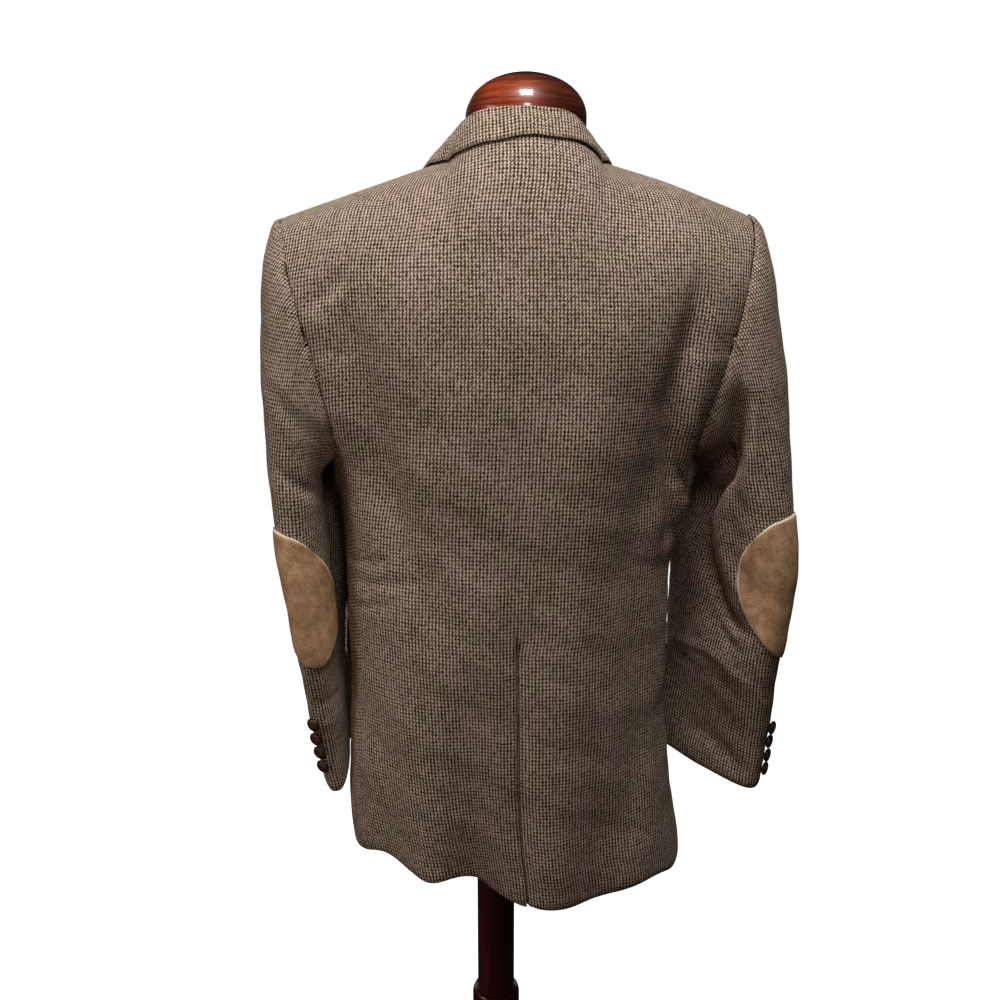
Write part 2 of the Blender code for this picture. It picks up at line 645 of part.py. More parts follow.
def front_surface(side, x, z, out):
    """A point in front of a front panel, x from the middle towards that side."""
    step = 0.002
    across = (front_y(side * (x + step), z) - front_y(side * (x - step), z)) / (2.0 * step)
    up = (front_y(side * x, z + step) - front_y(side * x, z - step)) / (2.0 * step)
    length = np.sqrt(across ** 2 + up ** 2 + 1.0)
    y = front_y(side * x, z) - out / length
    if side == RIGHT:
        y = y + under_lap(x, z)
    new_x = side * (x + out * across / length) + ring("shift", z)
    return np.stack(np.broadcast_arrays(new_x, y, z + out * up / length), axis=-1)


def make_lapel(side, name, material):
    """A facing turned out along the roll line, lying on the front."""
    over = np.linspace(0.0, 1.0, 6)[None, :]
    up = 1.0 - (np.linspace(1.0, 0.0, 13) ** 1.5)[:, None]
    lowest = LAPEL_FROM if side == LEFT else LAPEL_FROM_RIGHT
    z = mix(lowest, mix(GORGE[0], GORGE[1], over), up)
    roll_x = -smooth(FRONT_EDGE, FRONT_EDGE_COLUMNS, "reach", z)
    width = smooth(LAPEL, LAPEL_COLUMNS, "width", z)
    start = roll_x + 0.001
    if side == RIGHT:
        start = np.maximum(start, 0.003 - roll_x)
    x = mix(start, roll_x + 0.001 + width, over)
    bulge = LAPEL_ROLL * 4.0 * over * (1.0 - over) ** 2 * ramp(0.0, 0.3, up)
    points = front_surface(side, x, z, WALL + LAID_ON + bulge)
    return cloth(name, points, material, outward=(0, -1, 0))


def collar_grid(along, profile):
    """along: -4..4 round the neck, left positive; profile: 0 neck seam, 1 fold, 2 outer edge."""
    station = np.abs(along)
    read = {}
    for name in COLLAR_COLUMNS[1:]:
        read[name] = smooth(COLLAR, COLLAR_COLUMNS, name, station)
        if name.endswith("_x"):
            read[name] = read[name] * np.sign(along) + COLLAR_X
    seam, fold = (np.stack(np.broadcast_arrays(
        read[k + "_x"], read[k + "_y"], read[k + "_z"]), axis=-1) for k in ("seam", "fold"))
    place, reach, depth = COLLAR_LEFT_IN
    nip = depth * np.exp(-((along - place) / reach) ** 2)
    edge = above_cloth(read["edge_x"], read["edge_y"] - nip, WALL + COLLAR_LAID_ON)
    flat = edge - fold
    flat[..., 2] = 0.0
    flat = flat / np.maximum(np.linalg.norm(flat, axis=-1, keepdims=True), 1e-6)
    up = np.zeros(seam.shape)
    up[..., 2] = 1.0
    inner = fold - flat * FOLD_RADIUS
    outer = fold + flat * FOLD_RADIUS
    turn = math.pi * np.clip((profile - 0.8) / 0.4, 0.0, 1.0)[..., None]
    over_fold = fold - flat * FOLD_RADIUS * np.cos(turn) + up * FOLD_RADIUS * np.sin(turn)
    stand = mix(seam, inner, np.clip(profile / 0.8, 0.0, 1.0)[..., None])
    t = np.clip((profile - 1.2) / 0.8, 0.0, 1.0)[..., None]
    crown = 0.003 * np.sin(math.pi * t)
    fall = mix(outer, edge, t) + up * crown
    profile = profile[..., None]
    return np.where(profile < 0.8, stand, np.where(profile > 1.2, fall, over_fold))


def make_collar(material):
    along = np.linspace(-4.0, 4.0, 25)[None, :]
    profile = np.array([0.0, 0.4, 0.8, 0.9, 1.0, 1.1, 1.2, 1.6, 2.0])[:, None]
    along, profile = np.broadcast_arrays(along, profile)
    return cloth("collar", collar_grid(along, profile), material, outward=(0, 0, 1))


def make_flap(side, name, material):
    across = np.linspace(0.0, 1.0, 9)[None, :]
    down = np.linspace(0.0, 1.0, 4)[:, None]
    angle = np.radians(mix(FLAP_ANGLES[0], FLAP_ANGLES[1], across))
    z = mix(FLAP_TOP[0], FLAP_TOP[1], across) - FLAP_DEPTH * down
    points = ring_point(angle, z, WALL + LAID_ON + FLAP_FLARE * down)
    points[..., 0] = side * (points[..., 0] - ring("shift", z)) + ring("shift", z)
    return cloth(name, points, material, outward=(0.6 * side, -0.8, 0))


def make_sleeve(side, name, angles, material):
    along = np.concatenate([np.linspace(0.0, 1.0, 9)[:-1], np.linspace(1.0, 2.0, 13)])
    points = sleeve_point(side, np.asarray(angles)[None, :], along[:, None])
    points = stand_back(points, {"first": SLEEVE_SEAM, "last": SLEEVE_SEAM, "low": ARMHOLE_SEAM})
    middle = 0.5 * (angles[0] + angles[-1])
    outward = (side * math.cos(math.radians(middle)), 0.3 * math.sin(math.radians(middle)), 0)
    return cloth(name, points, material, outward=outward)


def sleeve_normal(side, angle, along):
    def surface(a, b):
        return sleeve_point(side, a, b)
    return normals(surface, angle, along, flip=-side)


def make_patch(side, name, material):
    """A suede oval over the elbow edge, its grid squeezed from a square into a rounded one."""
    middle, half, centre, lean, reach, more = PATCH_LEFT if side == LEFT else PATCH_RIGHT
    a = np.linspace(-1.0, 1.0, 21)[None, :]
    b = np.linspace(-1.0, 1.0, 11)[:, None]
    u = a * np.sqrt(1.0 - 0.5 * np.abs(b) ** PATCH_POWER)
    v = b * np.sqrt(1.0 - 0.5 * np.abs(a) ** PATCH_POWER)
    angle = centre - lean * v + reach * u + more * u ** 2
    along = height_to_along(side, middle - half * v)
    points = sleeve_point(side, angle, along)
    out = sleeve_normal(side, angle, along)
    points = points + out * (PATCH_WALL + LAID_ON)
    return cloth(name, points, material, wall=PATCH_WALL, outward=(0, 1, 0))


def make_cuff_buttons(side, label, material):
    for k in range(CUFF_BUTTONS):
        height = sleeve_table(side)[0][0] + CUFF_BUTTON_FIRST[side] + k * CUFF_BUTTON_STEP
        angle, along = np.array(CUFF_BUTTON_ANGLE[side]), np.array(height_to_along(side, height))
        out = sleeve_normal(side, angle, along)
        centre = sleeve_point(side, angle, along) + out * (CUFF_BUTTON[1] + BUTTON_GAP)
        button(f"cuff_button_{label}_{k + 1}", Vector(centre), Vector(out), CUFF_BUTTON, material)


def make_front_buttons(material):
    for k, height in enumerate(FRONT_BUTTON_HEIGHTS):
        centre = front_surface(LEFT, np.array(FRONT_BUTTON_X), np.array(height),
                               FRONT_BUTTON[1] + REST_GAP + 0.0002)
        button(f"front_button_{k + 1}", Vector(centre), Vector((0, -1, 0)), FRONT_BUTTON, material)


# ---------------------------------------------------------------- dress form pieces
def form_ring(height, count):
    """A closed ring of the torso: the cloth's own section, moved in, turning into the neck."""
    angle = np.linspace(0.0, 2.0 * math.pi, count, endpoint=False)
    cloth_z = height + FORM_SHOULDER_DROP
    slope_x = NECK_X + (NECK_Z - cloth_z) * (TIP_X - NECK_X) / (NECK_Z - TIP_Z)
    clear = float(mix(FORM_CLEAR[0], FORM_CLEAR[1], ramp(1.24, 1.44, height)))
    wide = min(float(ring("half_width", cloth_z)) - 0.5 * clear, FORM_ARM_X, slope_x)
    wide = max(wide, 0.045)
    x = wide * np.sin(angle)
    z = np.full(count, cloth_z)
    behind = back_y(x, z) - fold_out(x / ring("back_edge", z), z) * rounding(x, z, BACK_ROLL)
    before = front_y(x, z)
    centre = 0.5 * (behind + before)
    half = 0.5 * (behind - before) - clear
    half = np.maximum(half, 0.004)
    square = np.sign(np.cos(angle)) * np.minimum(np.abs(np.cos(angle)) * 2.2, 1.0)
    y = centre + half * square
    blend = float(ramp(NECK_FROM, NECK_TO, height))
    neck_x, neck_y, radius = FORM_NECK
    x = mix(x, neck_x + radius * np.sin(angle), blend)
    y = mix(y, neck_y + radius * np.cos(angle), blend)
    return np.stack((x + ring("shift", cloth_z) * (1.0 - blend), y, np.full(count, height)), axis=-1)


def make_torso(material):
    count = 28
    heights = np.concatenate([np.linspace(FORM_BOTTOM, 1.40, 12), np.linspace(1.43, 1.50, 6),
                              np.linspace(1.508, NECK_TO, 6)])
    rings = [form_ring(float(height), count) for height in heights]
    points = np.concatenate(rings)
    faces = []
    for k in range(len(rings) - 1):
        for j in range(count):
            a, b = k * count + j, k * count + (j + 1) % count
            faces.append((b, a, a + count, b + count))
    faces.append(tuple(range(count)))
    faces.append(tuple(reversed(range(len(points) - count, len(points)))))
    mesh = bpy.data.meshes.new("torso_form")
    mesh.from_pydata([tuple(p) for p in points], [], faces)
    mesh.update()
    item = make_object("torso_form", mesh, material)
    shade(item, 50.0)
    return item


def arc(centre, radii, start, end, count):
    """Points of an ellipse's arc in the turning plane, angles in degrees above level."""
    angles = np.radians(np.linspace(start, end, count))
    return [(centre[0] + radii[0] * math.cos(a), centre[1] + radii[1] * math.sin(a)) for a in angles]


def make_neck_cap(material):
    side = CAP_SIDE_TOP - CAP_FOOT
    profile = arc((0.0, side), (CAP_RADIUS, CAP_DOME), 90.0, 0.0, 8)
    profile += [(CAP_RADIUS, 0.004), (CAP_RADIUS - 0.004, 0.0), (0.0, 0.0)]
    return turned("neck_cap", profile, material, (CAP_X, CAP_Y, CAP_FOOT), steps=24)


def make_stand(material):
    low = BASE_HEIGHT + REST_GAP
    high = FORM_BOTTOM - REST_GAP
    pole = [(0.0, high - low), (POLE_RADIUS, high - low), (POLE_RADIUS, 0.0), (0.0, 0.0)]
    turned("pole", pole, material, (POLE_X, POLE_Y, low), steps=24)
    hole = POLE_RADIUS + REST_GAP
    thick = RING_RADIUS - hole
    round_ = arc((hole + 0.45 * thick, 0.74 * RING_HEIGHT), (0.55 * thick, 0.26 * RING_HEIGHT),
                 90.0, 0.0, 4)
    profile = [(hole, 0.96 * RING_HEIGHT)] + round_
    profile += [(RING_RADIUS, 0.30 * RING_HEIGHT), (RING_RADIUS - 0.003, 0.22 * RING_HEIGHT),
                (RING_RADIUS - 0.003, 0.10 * RING_HEIGHT), (RING_RADIUS - 0.001, 0.0),
                (hole, 0.0)]
    turned("pole_ring", profile, material, (POLE_X, POLE_Y, RING_TOP - RING_HEIGHT), steps=24,
           closed=True)
    base = [(0.0, BASE_HEIGHT), (0.050, BASE_HEIGHT), (BASE_RADIUS - 0.035, BASE_HEIGHT - 0.004)]
    base += arc((BASE_RADIUS - 0.020, BASE_STEP), (0.020, BASE_HEIGHT - 0.008 - BASE_STEP),
                90.0, 0.0, 4)
    base += [(BASE_RADIUS, 0.003), (BASE_RADIUS - 0.003, 0.0), (0.0, 0.0)]
    turned("pole_base", base, material, (0.0, 0.0, 0.0), steps=32)


def main():
    clear_scene()
    home = bpy.data.collections.new(COLLECTION)
    bpy.context.scene.collection.children.link(home)
    tweed = principled("tweed", (0.135, 0.105, 0.080), 0.90)
    suede = principled("suede", (0.205, 0.125, 0.068), 0.95)
    leather = principled("button_leather", (0.040, 0.022, 0.014), 0.45)
    jersey = principled("form_jersey", (0.62, 0.57, 0.48), 0.85)
    mahogany = principled("mahogany", (0.130, 0.026, 0.012), 0.18)
    make_back_left(tweed)
    make_back_right(tweed)
    for side, label in ((LEFT, "left"), (RIGHT, "right")):
        make_side(side, f"side_{label}", tweed)
        make_front(side, f"front_{label}", tweed)
        make_lapel(side, f"lapel_{label}", tweed)
        make_flap(side, f"pocket_flap_{label}", tweed)
        make_sleeve(side, f"sleeve_under_{label}", SLEEVE_UNDER, tweed)
        make_sleeve(side, f"sleeve_top_{label}", SLEEVE_TOP, tweed)
        make_patch(side, f"elbow_patch_{label}", suede)
        make_cuff_buttons(side, label, leather)
    make_collar(tweed)
    make_front_buttons(leather)
    make_torso(jersey)
    make_neck_cap(mahogany)
    make_stand(mahogany)


main()
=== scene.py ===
"""A man's tweed hacking jacket on a limbless dress form: cloth, suede, leather and turned wood.

Metres, +Z up, the jacket's front to -Y and the wearer's left to +X. The cloth is worked out from
the same rings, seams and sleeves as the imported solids, with finer rows, creases and seam rolls.
"""
import math

import bpy
import numpy as np
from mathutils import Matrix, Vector


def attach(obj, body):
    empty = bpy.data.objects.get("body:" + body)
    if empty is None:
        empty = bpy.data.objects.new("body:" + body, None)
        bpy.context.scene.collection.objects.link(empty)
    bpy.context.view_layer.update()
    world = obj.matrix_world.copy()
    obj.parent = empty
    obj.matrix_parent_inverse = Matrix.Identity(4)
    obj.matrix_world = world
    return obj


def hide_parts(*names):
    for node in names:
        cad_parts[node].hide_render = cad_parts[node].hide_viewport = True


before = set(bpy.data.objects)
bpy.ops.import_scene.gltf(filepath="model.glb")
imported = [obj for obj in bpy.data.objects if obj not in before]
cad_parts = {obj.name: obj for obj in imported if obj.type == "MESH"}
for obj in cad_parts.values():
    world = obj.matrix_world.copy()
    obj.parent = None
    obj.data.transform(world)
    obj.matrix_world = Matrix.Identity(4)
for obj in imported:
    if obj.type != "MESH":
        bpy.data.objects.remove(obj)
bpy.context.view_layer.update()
BODY = "root"
LEFT, RIGHT = 1, -1
SIDES = ((LEFT, "left"), (RIGHT, "right"))

# ---------------------------------------------------------------- cloth
WALL = 0.0018               # tweed with its canvas
LAID_ON = 0.0012            # from a panel to what lies on it
SEWN_GAP, ARMHOLE_GAP = 0.00005, 0.0003     # how far sewn edges stand back from each other
SPACING = 0.0036            # between the rows and the columns of a cloth's grid
EDGE_ROWS = (0.18, 0.45)    # more rows next to an edge, at these shares of a step
# Depth and reach of the groove along a seam, and of the roll along a turned edge.
PRESSED_ROLL = (0.00022, 0.0022)
ARMHOLE_ROLL = (0.0010, 0.0032)
HEM_ROLL = (0.0012, 0.0030)
FRONT_EDGE_ROLL = (0.0008, 0.0025)
LAPEL_EDGE_ROLL = (0.0006, 0.0022)
COLLAR_EDGE_ROLL = (0.0007, 0.0025)
FLAP_EDGE_ROLL = (0.0007, 0.0025)

# ---------------------------------------------------------------- jacket body
RING_COLUMNS = ("height", "shift", "half_width", "back", "front", "back_edge", "front_edge")
RINGS = (
    (0.700, -0.005, 0.184, 0.130, -0.152, 0.168, 0.154),
    (0.780, -0.0045, 0.1840, 0.128, -0.152, 0.166, 0.152),
    (0.850, 0.0025, 0.1805, 0.127, -0.152, 0.163, 0.150),
    (0.900, 0.0055, 0.1755, 0.127, -0.152, 0.159, 0.148),
    (0.972, 0.007, 0.171, 0.126, -0.150, 0.156, 0.146),
    (1.077, 0.008, 0.169, 0.126, -0.148, 0.154, 0.145),
    (1.160, 0.006, 0.172, 0.127, -0.150, 0.159, 0.148),
    (1.245, 0.002, 0.187, 0.130, -0.154, 0.176, 0.162),
    (1.300, 0.000, 0.220, 0.130, -0.152, 0.187, 0.168),
    (1.380, -0.001, 0.250, 0.130, -0.142, 0.208, 0.180),
    (1.440, -0.001, 0.262, 0.130, -0.126, 0.222, 0.206),
    (1.472, -0.001, 0.268, 0.130, -0.116, 0.2285, 0.2285),
    (1.510, -0.006, 0.268, 0.130, -0.108, 0.2285, 0.2285),
    (1.570, -0.008, 0.268, 0.130, -0.100, 0.2285, 0.2285),
)
WIDEST_Y = 0.012            # a ring is widest just behind the middle
BACK_POWER, FRONT_POWER = 2.3, 2.0      # a back is squarer than an ellipse
UNDERARM, UNDERARM_DIP = 1.245, 0.012   # the side panel's top edge is scooped
TIP_X, TIP_Z = 0.2285, 1.472            # shoulder tip
NECK_X, NECK_Z = 0.072, 1.528           # where the shoulder seam meets the neck
HIGH_SHOULDER = 0.004                   # the right shoulder stands this much higher
NAPE_Y, NAPE_Z = 0.058, 1.556           # centre back of the neck
SHOULDER_Y = (0.005, 0.015)             # shoulder seam, at the neck and at the tip
BACK_ROLL = (0.18, 0.11)                # how far the back rounds over, at the nape and the tip
FRONT_ROLL = (0.13, 0.10)
NECK_SOFT, NECK_SOFT_REACH = 0.030, 1.9     # the neck's corner is gone this far below its seam
SEARCH_DEPTH, SEARCH_HALVINGS = 0.12, 22    # for the cloth's height over a point of the plan
HEM_COLUMNS = ("angle", "height")       # angle from centre back, + to the wearer's left
HEM = (
    (-180.0, 0.790), (-120.0, 0.775), (-90.0, 0.766), (-70.0, 0.778), (-48.0, 0.7866),
    (-33.0, 0.780), (-18.0, 0.777), (-3.0, 0.7775), (3.0, 0.779), (7.5, 0.785),
    (11.5, 0.793), (15.5, 0.8035), (19.0, 0.807), (36.0, 0.808), (43.0, 0.8165),
    (55.0, 0.8245), (68.0, 0.815), (90.0, 0.790), (120.0, 0.784), (180.0, 0.790),
)
# Lowest, fullest and highest level, centre below and above, reach, and how far out it stands.
BACK_FOLDS = (
    (0.60, 0.74, 1.13, 0.30, 0.18, 0.22, -0.019),
    (0.60, 0.74, 1.20, 0.62, 0.50, 0.16, 0.006),
    (0.60, 0.78, 1.05, 0.84, 0.74, 0.12, -0.006),
    (0.60, 0.76, 1.10, -0.20, -0.16, 0.16, 0.004),
    (0.60, 0.78, 1.08, -0.56, -0.44, 0.18, -0.008),
    (1.12, 1.33, 1.45, 0.70, 0.76, 0.14, -0.009),
    (1.08, 1.27, 1.44, -0.72, -0.78, 0.13, -0.011),
    (1.02, 1.14, 1.26, 0.50, 0.62, 0.16, -0.005),
    (0.98, 1.10, 1.24, -0.48, -0.60, 0.16, -0.005),
)
FOLDS_FADE = (1.0, 0.86)    # towards the side seams, as a share of the way to them
BACK_ANGLE, SIDE_ANGLE = 66.0, 115.0     # where the back and side panels end round the hem
VENT_TOP, VENT_LAP, VENT_LAP_COLUMNS = 1.066, 0.036, 10
VENT_DEEP, VENT_SHORT = 0.0026, 0.004   # how far the lower flap lies in, and is drawn up
# It slopes in between two places from the middle and then steps in, and fades out at the top.
VENT_SLOPE, VENT_STEP, VENT_STEP_SHARE = (-0.016, -0.003), (-0.0036, -0.0014), 1.2
VENT_FADE, VENT_LAP_IN = (VENT_TOP + 0.02, VENT_TOP - 0.01), 0.0006
FRONT_EDGE_COLUMNS = ("height", "reach")    # past the middle, + towards the other side
FRONT_EDGE = (
    (0.770, -0.075), (0.800, -0.052), (0.850, -0.022), (0.900, -0.001), (0.950, 0.013),
    (1.010, 0.019), (1.125, 0.020), (1.180, 0.010), (1.300, -0.021), (1.420, -0.053),
    (1.490, -0.069), (1.528, -0.072),
)
UNDER_LAP, LAP_REACH, LAP_ENDS = 0.0034, 0.034, (1.30, 1.24)    # the right front lies under
LAPEL_FROM, LAPEL_FROM_RIGHT = 1.128, 1.186
LAPEL_COLUMNS = ("height", "width")
LAPEL = (
    (1.128, 0.002), (1.170, 0.024), (1.250, 0.056), (1.330, 0.078), (1.400, 0.090),
    (1.440, 0.094),
)
GORGE = (1.462, 1.432)      # the lapel's top edge, at the roll line and at its point
LAPEL_ROLL = 0.0065         # how far it bulges off the front along the roll line
LAPEL_IN, LAPEL_PART = 0.001, 0.003     # in from the roll line, and where it meets the other one
FLAP_ANGLES, FLAP_TOP, FLAP_DEPTH, FLAP_FLARE = (84.0, 136.0), (1.072, 1.100), 0.055, 0.003
FLAP_ROUND, FLAP_ROUND_POWER = 0.22, 14     # share of the depth that its corners are rounded by
JET_OUT, JET_DEPTH = 0.0012, 0.16           # its relief, and the body's half depth beside it
JET_HEIGHT = (-0.006, -0.004, 0.0045, 0.006)    # about the flap's top: foot, full, full, head

COLLAR_COLUMNS = ("along", "seam_x", "seam_y", "seam_z", "fold_x", "fold_y", "fold_z",
                  "edge_x", "edge_y")
COLLAR = (
    (0.0, 0.000, 0.0600, 1.5600, 0.000, 0.0655, 1.5668, 0.000, 0.0870),
    (0.5, 0.022, 0.0575, 1.5585, 0.0215, 0.0630, 1.5658, 0.026, 0.0845),
    (1.0, 0.041, 0.0500, 1.5545, 0.0405, 0.0545, 1.5635, 0.052, 0.0690),
    (2.0, 0.062, 0.0220, 1.5400, 0.0630, 0.0220, 1.5470, 0.084, 0.0240),
    (3.0, 0.063, -0.0340, 1.5225, 0.0640, -0.0360, 1.5320, 0.100, -0.0440),
    (4.0, 0.060, -0.0925, 1.4760, 0.0625, -0.0985, 1.4800, 0.101, -0.0930),
)
COLLAR_LAID_ON, COLLAR_X, FOLD_RADIUS = 0.0023, -0.0036, 0.0032
FOLD_FROM, FOLD_TO, FALL_CROWN = 0.8, 1.2, 0.003        # places across it, and the fall's crown
COLLAR_LEFT_IN = (1.5, 0.32, 0.010)     # place, reach and depth of a nip in the left edge

# ---------------------------------------------------------------- sleeves
SLEEVE_COLUMNS = ("height", "out", "back", "half_long", "half_short", "turn")
SLEEVES = {
    LEFT: (
        (0.885, 0.1994, -0.014, 0.062, 0.0135, -4.0),
        (0.915, 0.2022, -0.012, 0.064, 0.0164, -2.0),
        (1.000, 0.2068, -0.006, 0.073, 0.0186, 3.0),
        (1.075, 0.2096, 0.000, 0.079, 0.0206, 7.0),
        (1.150, 0.2130, 0.002, 0.081, 0.0250, 8.0),
        (1.215, 0.2176, 0.002, 0.082, 0.0282, 6.0),
    ),
    RIGHT: (
        (0.874, 0.2260, 0.003, 0.061, 0.0200, 41.0),
        (0.940, 0.2300, 0.004, 0.067, 0.0235, 36.5),
        (1.020, 0.2305, 0.008, 0.076, 0.0285, 30.0),
        (1.100, 0.2350, 0.010, 0.080, 0.0340, 28.0),
        (1.161, 0.2400, 0.008, 0.082, 0.0385, 15.0),
        (1.215, 0.2385, 0.004, 0.083, 0.0410, 8.0),
    ),
}
SLEEVE_POWER, CUFF_TILT = 2.6, 0.010
CAP_FULL, CAP_THIN = 0.085, 0.030       # how far the sleeve head leaves the armhole outwards,
CAP_BACK, CAP_DOWN = 0.030, 0.010       # to the back and the front, and down,
CAP_HANG = (0.6, 0.02)                  # and how straight it runs into the hanging tube
PUCKER = (0.0007, 0.0012, 0.017)        # wave, fullness and step of the ease at the sleeve head
PUCKER_REACH = (0.020, 0.004)           # it fades this far down, and next to the seam
SLEEVE_FRONT_SEAM, SLEEVE_ELBOW_SEAM = -110.0, 96.0
ARMHOLE_SHARES = (0.41, 0.59)
PATCH_POWER, PATCH_WALL = 2.2, 0.0014
# Middle and half height, angle, lean at its ends, reach to each side, more towards the body.
PATCHES = {
    LEFT: (1.103, 0.073, 88.0, -31.0, 81.0, 0.0),
    RIGHT: (1.104, 0.080, 54.0, 5.0, 79.0, 18.0),
}
PATCH_EDGE = (0.0008, 0.0040)           # depth and reach, where its stitching pulls it down
PATCH_GRID, PATCH_STITCH_LINE = (81, 61), (0.93, 60)    # the line's inset, points to each side
PATCH_STITCH = (0.0042, 0.0032, 0.0006)         # step, length and thickness
BUTTONHOLE_STITCH = (0.0008, 0.0012, 0.0008)
STITCH_SUNK = 0.0001                    # how far a stitch has sunk into the suede

CUFF_BUTTON, FRONT_BUTTON = (0.0078, 0.0030), (0.0105, 0.0036)
CUFF_BUTTON_ANGLE, CUFF_BUTTON_FIRST = {LEFT: 76.0, RIGHT: 80.0}, {LEFT: 0.033, RIGHT: 0.023}
CUFF_BUTTON_STEP, CUFF_BUTTONS = 0.0165, 4
BUTTON_GAP, REST_GAP = 0.0001, 0.0003
FRONT_BUTTON_HEIGHTS, FRONT_BUTTON_X = (1.115, 1.010), 0.000
FRONT_BUTTON_OUT, CUFF_BUTTON_OUT = 0.0006, 0.0004      # more, as the cloth isn't flat
WEAVE_STRIPS, WEAVE_SPAN = 5, 2.9       # leather strips each way across this many radii
STRIP_RISE, BUTTON_POWER, BUTTON_TURN_IN = 0.00038, 2.4, 0.35
BUTTON_RINGS = (18, 48, 4)              # rings of the dome, points round it, rings of the back
BUTTONHOLES = (                         # x, height, how far out it stands, slope
    (-0.004, 1.115, 0.0006, 0.0),
    (-0.004, 1.010, 0.0006, 0.0),
    (0.118, 1.412, WALL + LAID_ON + 0.18 * LAPEL_ROLL + 0.0010, -0.35),
)
BUTTONHOLE_HALF = (0.011, 0.0016)       # half its length and half its width
BUTTONHOLE_POWER, BUTTONHOLE_POINTS = 0.6, 40

# ---------------------------------------------------------------- dress form
FORM_BOTTOM, FORM_SHOULDER, FORM_SHOULDER_DROP, FORM_ARM_X = 0.870, 1.40, 0.0036, 0.186
FORM_CLEAR, FORM_CLEAR_HEIGHTS = (0.030, 0.010), (1.24, 1.44)   # inside the cloth
FORM_NECK = (-0.005, -0.006, 0.0490)    # x, y, radius
FORM_NARROWEST, FORM_THINNEST, FORM_SQUARE = 0.045, 0.004, 2.2
FORM_TURN_UNDER, FORM_TURN_IN = 0.012, 0.05     # its rounded rim's height, and share of radius
FORM_RINGS, FORM_STEPS = (6, 90, 50), 128       # of the rim, the body, the shoulders; round it
FORM_SEAMS, FORM_SEAM_REACH = (0.0, 42.0, 90.0, 138.0, 180.0, 222.0, 270.0, 318.0), 2.2
FORM_SEAM_DEPTH = 0.007                 # as a share of the ring's radius
NECK_FROM, NECK_TO, CAP_FOOT = 1.500, 1.5517, 1.5520
CAP_X, CAP_Y, CAP_RADIUS, CAP_SIDE_TOP, CAP_DOME = -0.0100, -0.006, 0.0600, 1.568, 0.0418
CAP_FOOT_EDGE = ((0.0, 0.0052), (0.0006, 0.0040), (0.0022, 0.0014), (0.0040, 0.0))  # in, up
# How dark the painted shade gets, from where to where: below the top, to the right, to the left.
CAP_SHADE_TOP, CAP_SHADE_RIGHT, CAP_SHADE_LEFT = (
    (0.95, 0.016, 0.003), (0.75, 0.004, -0.040), (0.60, 0.022, 0.046))
POLE_X, POLE_Y, POLE_RADIUS = 0.0195, -0.005, 0.0218
RING_TOP, RING_HEIGHT, RING_RADIUS = 0.577, 0.034, 0.0280
BASE_RADIUS, BASE_HEIGHT, BASE_STEP = 0.190, 0.030, 0.012
BASE_FALL, BASE_RIM_FROM = 0.0036, 0.035    # how far its top falls, and how near the edge
BASE_EDGE = (                           # in from the radius, and height: a groove, then a bevel
    (0.0, 0.0085), (0.0012, 0.0078), (0.0, 0.0070), (0.0, 0.003), (0.0009, 0.0009),
    (0.003, 0.0),
)

# ---------------------------------------------------------------- creases
# depth (+ out), reach to the left and the right of the line, and the line's places, downwards.
BODY_CREASES = (            # places as (x, z)
    (-0.0040, 0.010, 0.008, ((0.160, 1.426), (0.174, 1.413), (0.200, 1.387))),
    (-0.0070, 0.028, 0.014, ((0.162, 1.398), (0.151, 1.335), (0.140, 1.278), (0.129, 1.229),
                             (0.121, 1.180), (0.118, 1.130))),
    (-0.0085, 0.014, 0.009, ((-0.164, 1.410), (-0.158, 1.371), (-0.150, 1.334),
                             (-0.144, 1.305), (-0.149, 1.264), (-0.156, 1.228))),
    (0.0030, 0.009, 0.010, ((-0.184, 1.397), (-0.178, 1.361), (-0.170, 1.318),
                            (-0.166, 1.274), (-0.166, 1.248))),
    (-0.0050, 0.006, 0.006, ((-0.140, 1.270), (-0.147, 1.223), (-0.150, 1.190),
                             (-0.149, 1.160))),
    (0.0240, 0.012, 0.030, ((-0.166, 1.206), (-0.175, 1.166), (-0.168, 1.136))),
    (0.0045, 0.012, 0.020, ((-0.157, 1.085), (-0.158, 0.990))),
    (0.0050, 0.140, 0.050, ((0.090, 1.345), (-0.100, 1.345))),
    (0.0060, 0.034, 0.032, ((-0.085, 1.416), (-0.075, 1.363), (-0.069, 1.290), (-0.066, 1.213),
                            (-0.064, 1.153), (-0.061, 1.071), (-0.056, 0.986), (-0.046, 0.900),
                            (-0.036, 0.800))),
    (-0.0050, 0.020, 0.016, ((-0.116, 1.150), (-0.119, 1.060), (-0.122, 0.960),
                             (-0.116, 0.850))),
    (0.0050, 0.032, 0.012, ((0.031, 1.118), (0.026, 1.055), (0.023, 1.012), (0.021, 0.923),
                            (0.018, 0.790))),
    (0.0024, 0.016, 0.006, ((0.112, 1.112), (0.115, 1.008), (0.119, 0.800))),
    (-0.0014, 0.005, 0.005, ((0.175, 1.120), (0.134, 1.124), (0.100, 1.131))),
    (-0.0012, 0.004, 0.005, ((0.175, 1.091), (0.145, 1.099), (0.118, 1.107))),
    (-0.0012, 0.004, 0.004, ((0.175, 1.140), (0.151, 1.144), (0.126, 1.151))),
    (-0.0012, 0.006, 0.006, ((-0.160, 1.128), (-0.130, 1.136), (-0.095, 1.150))),
)
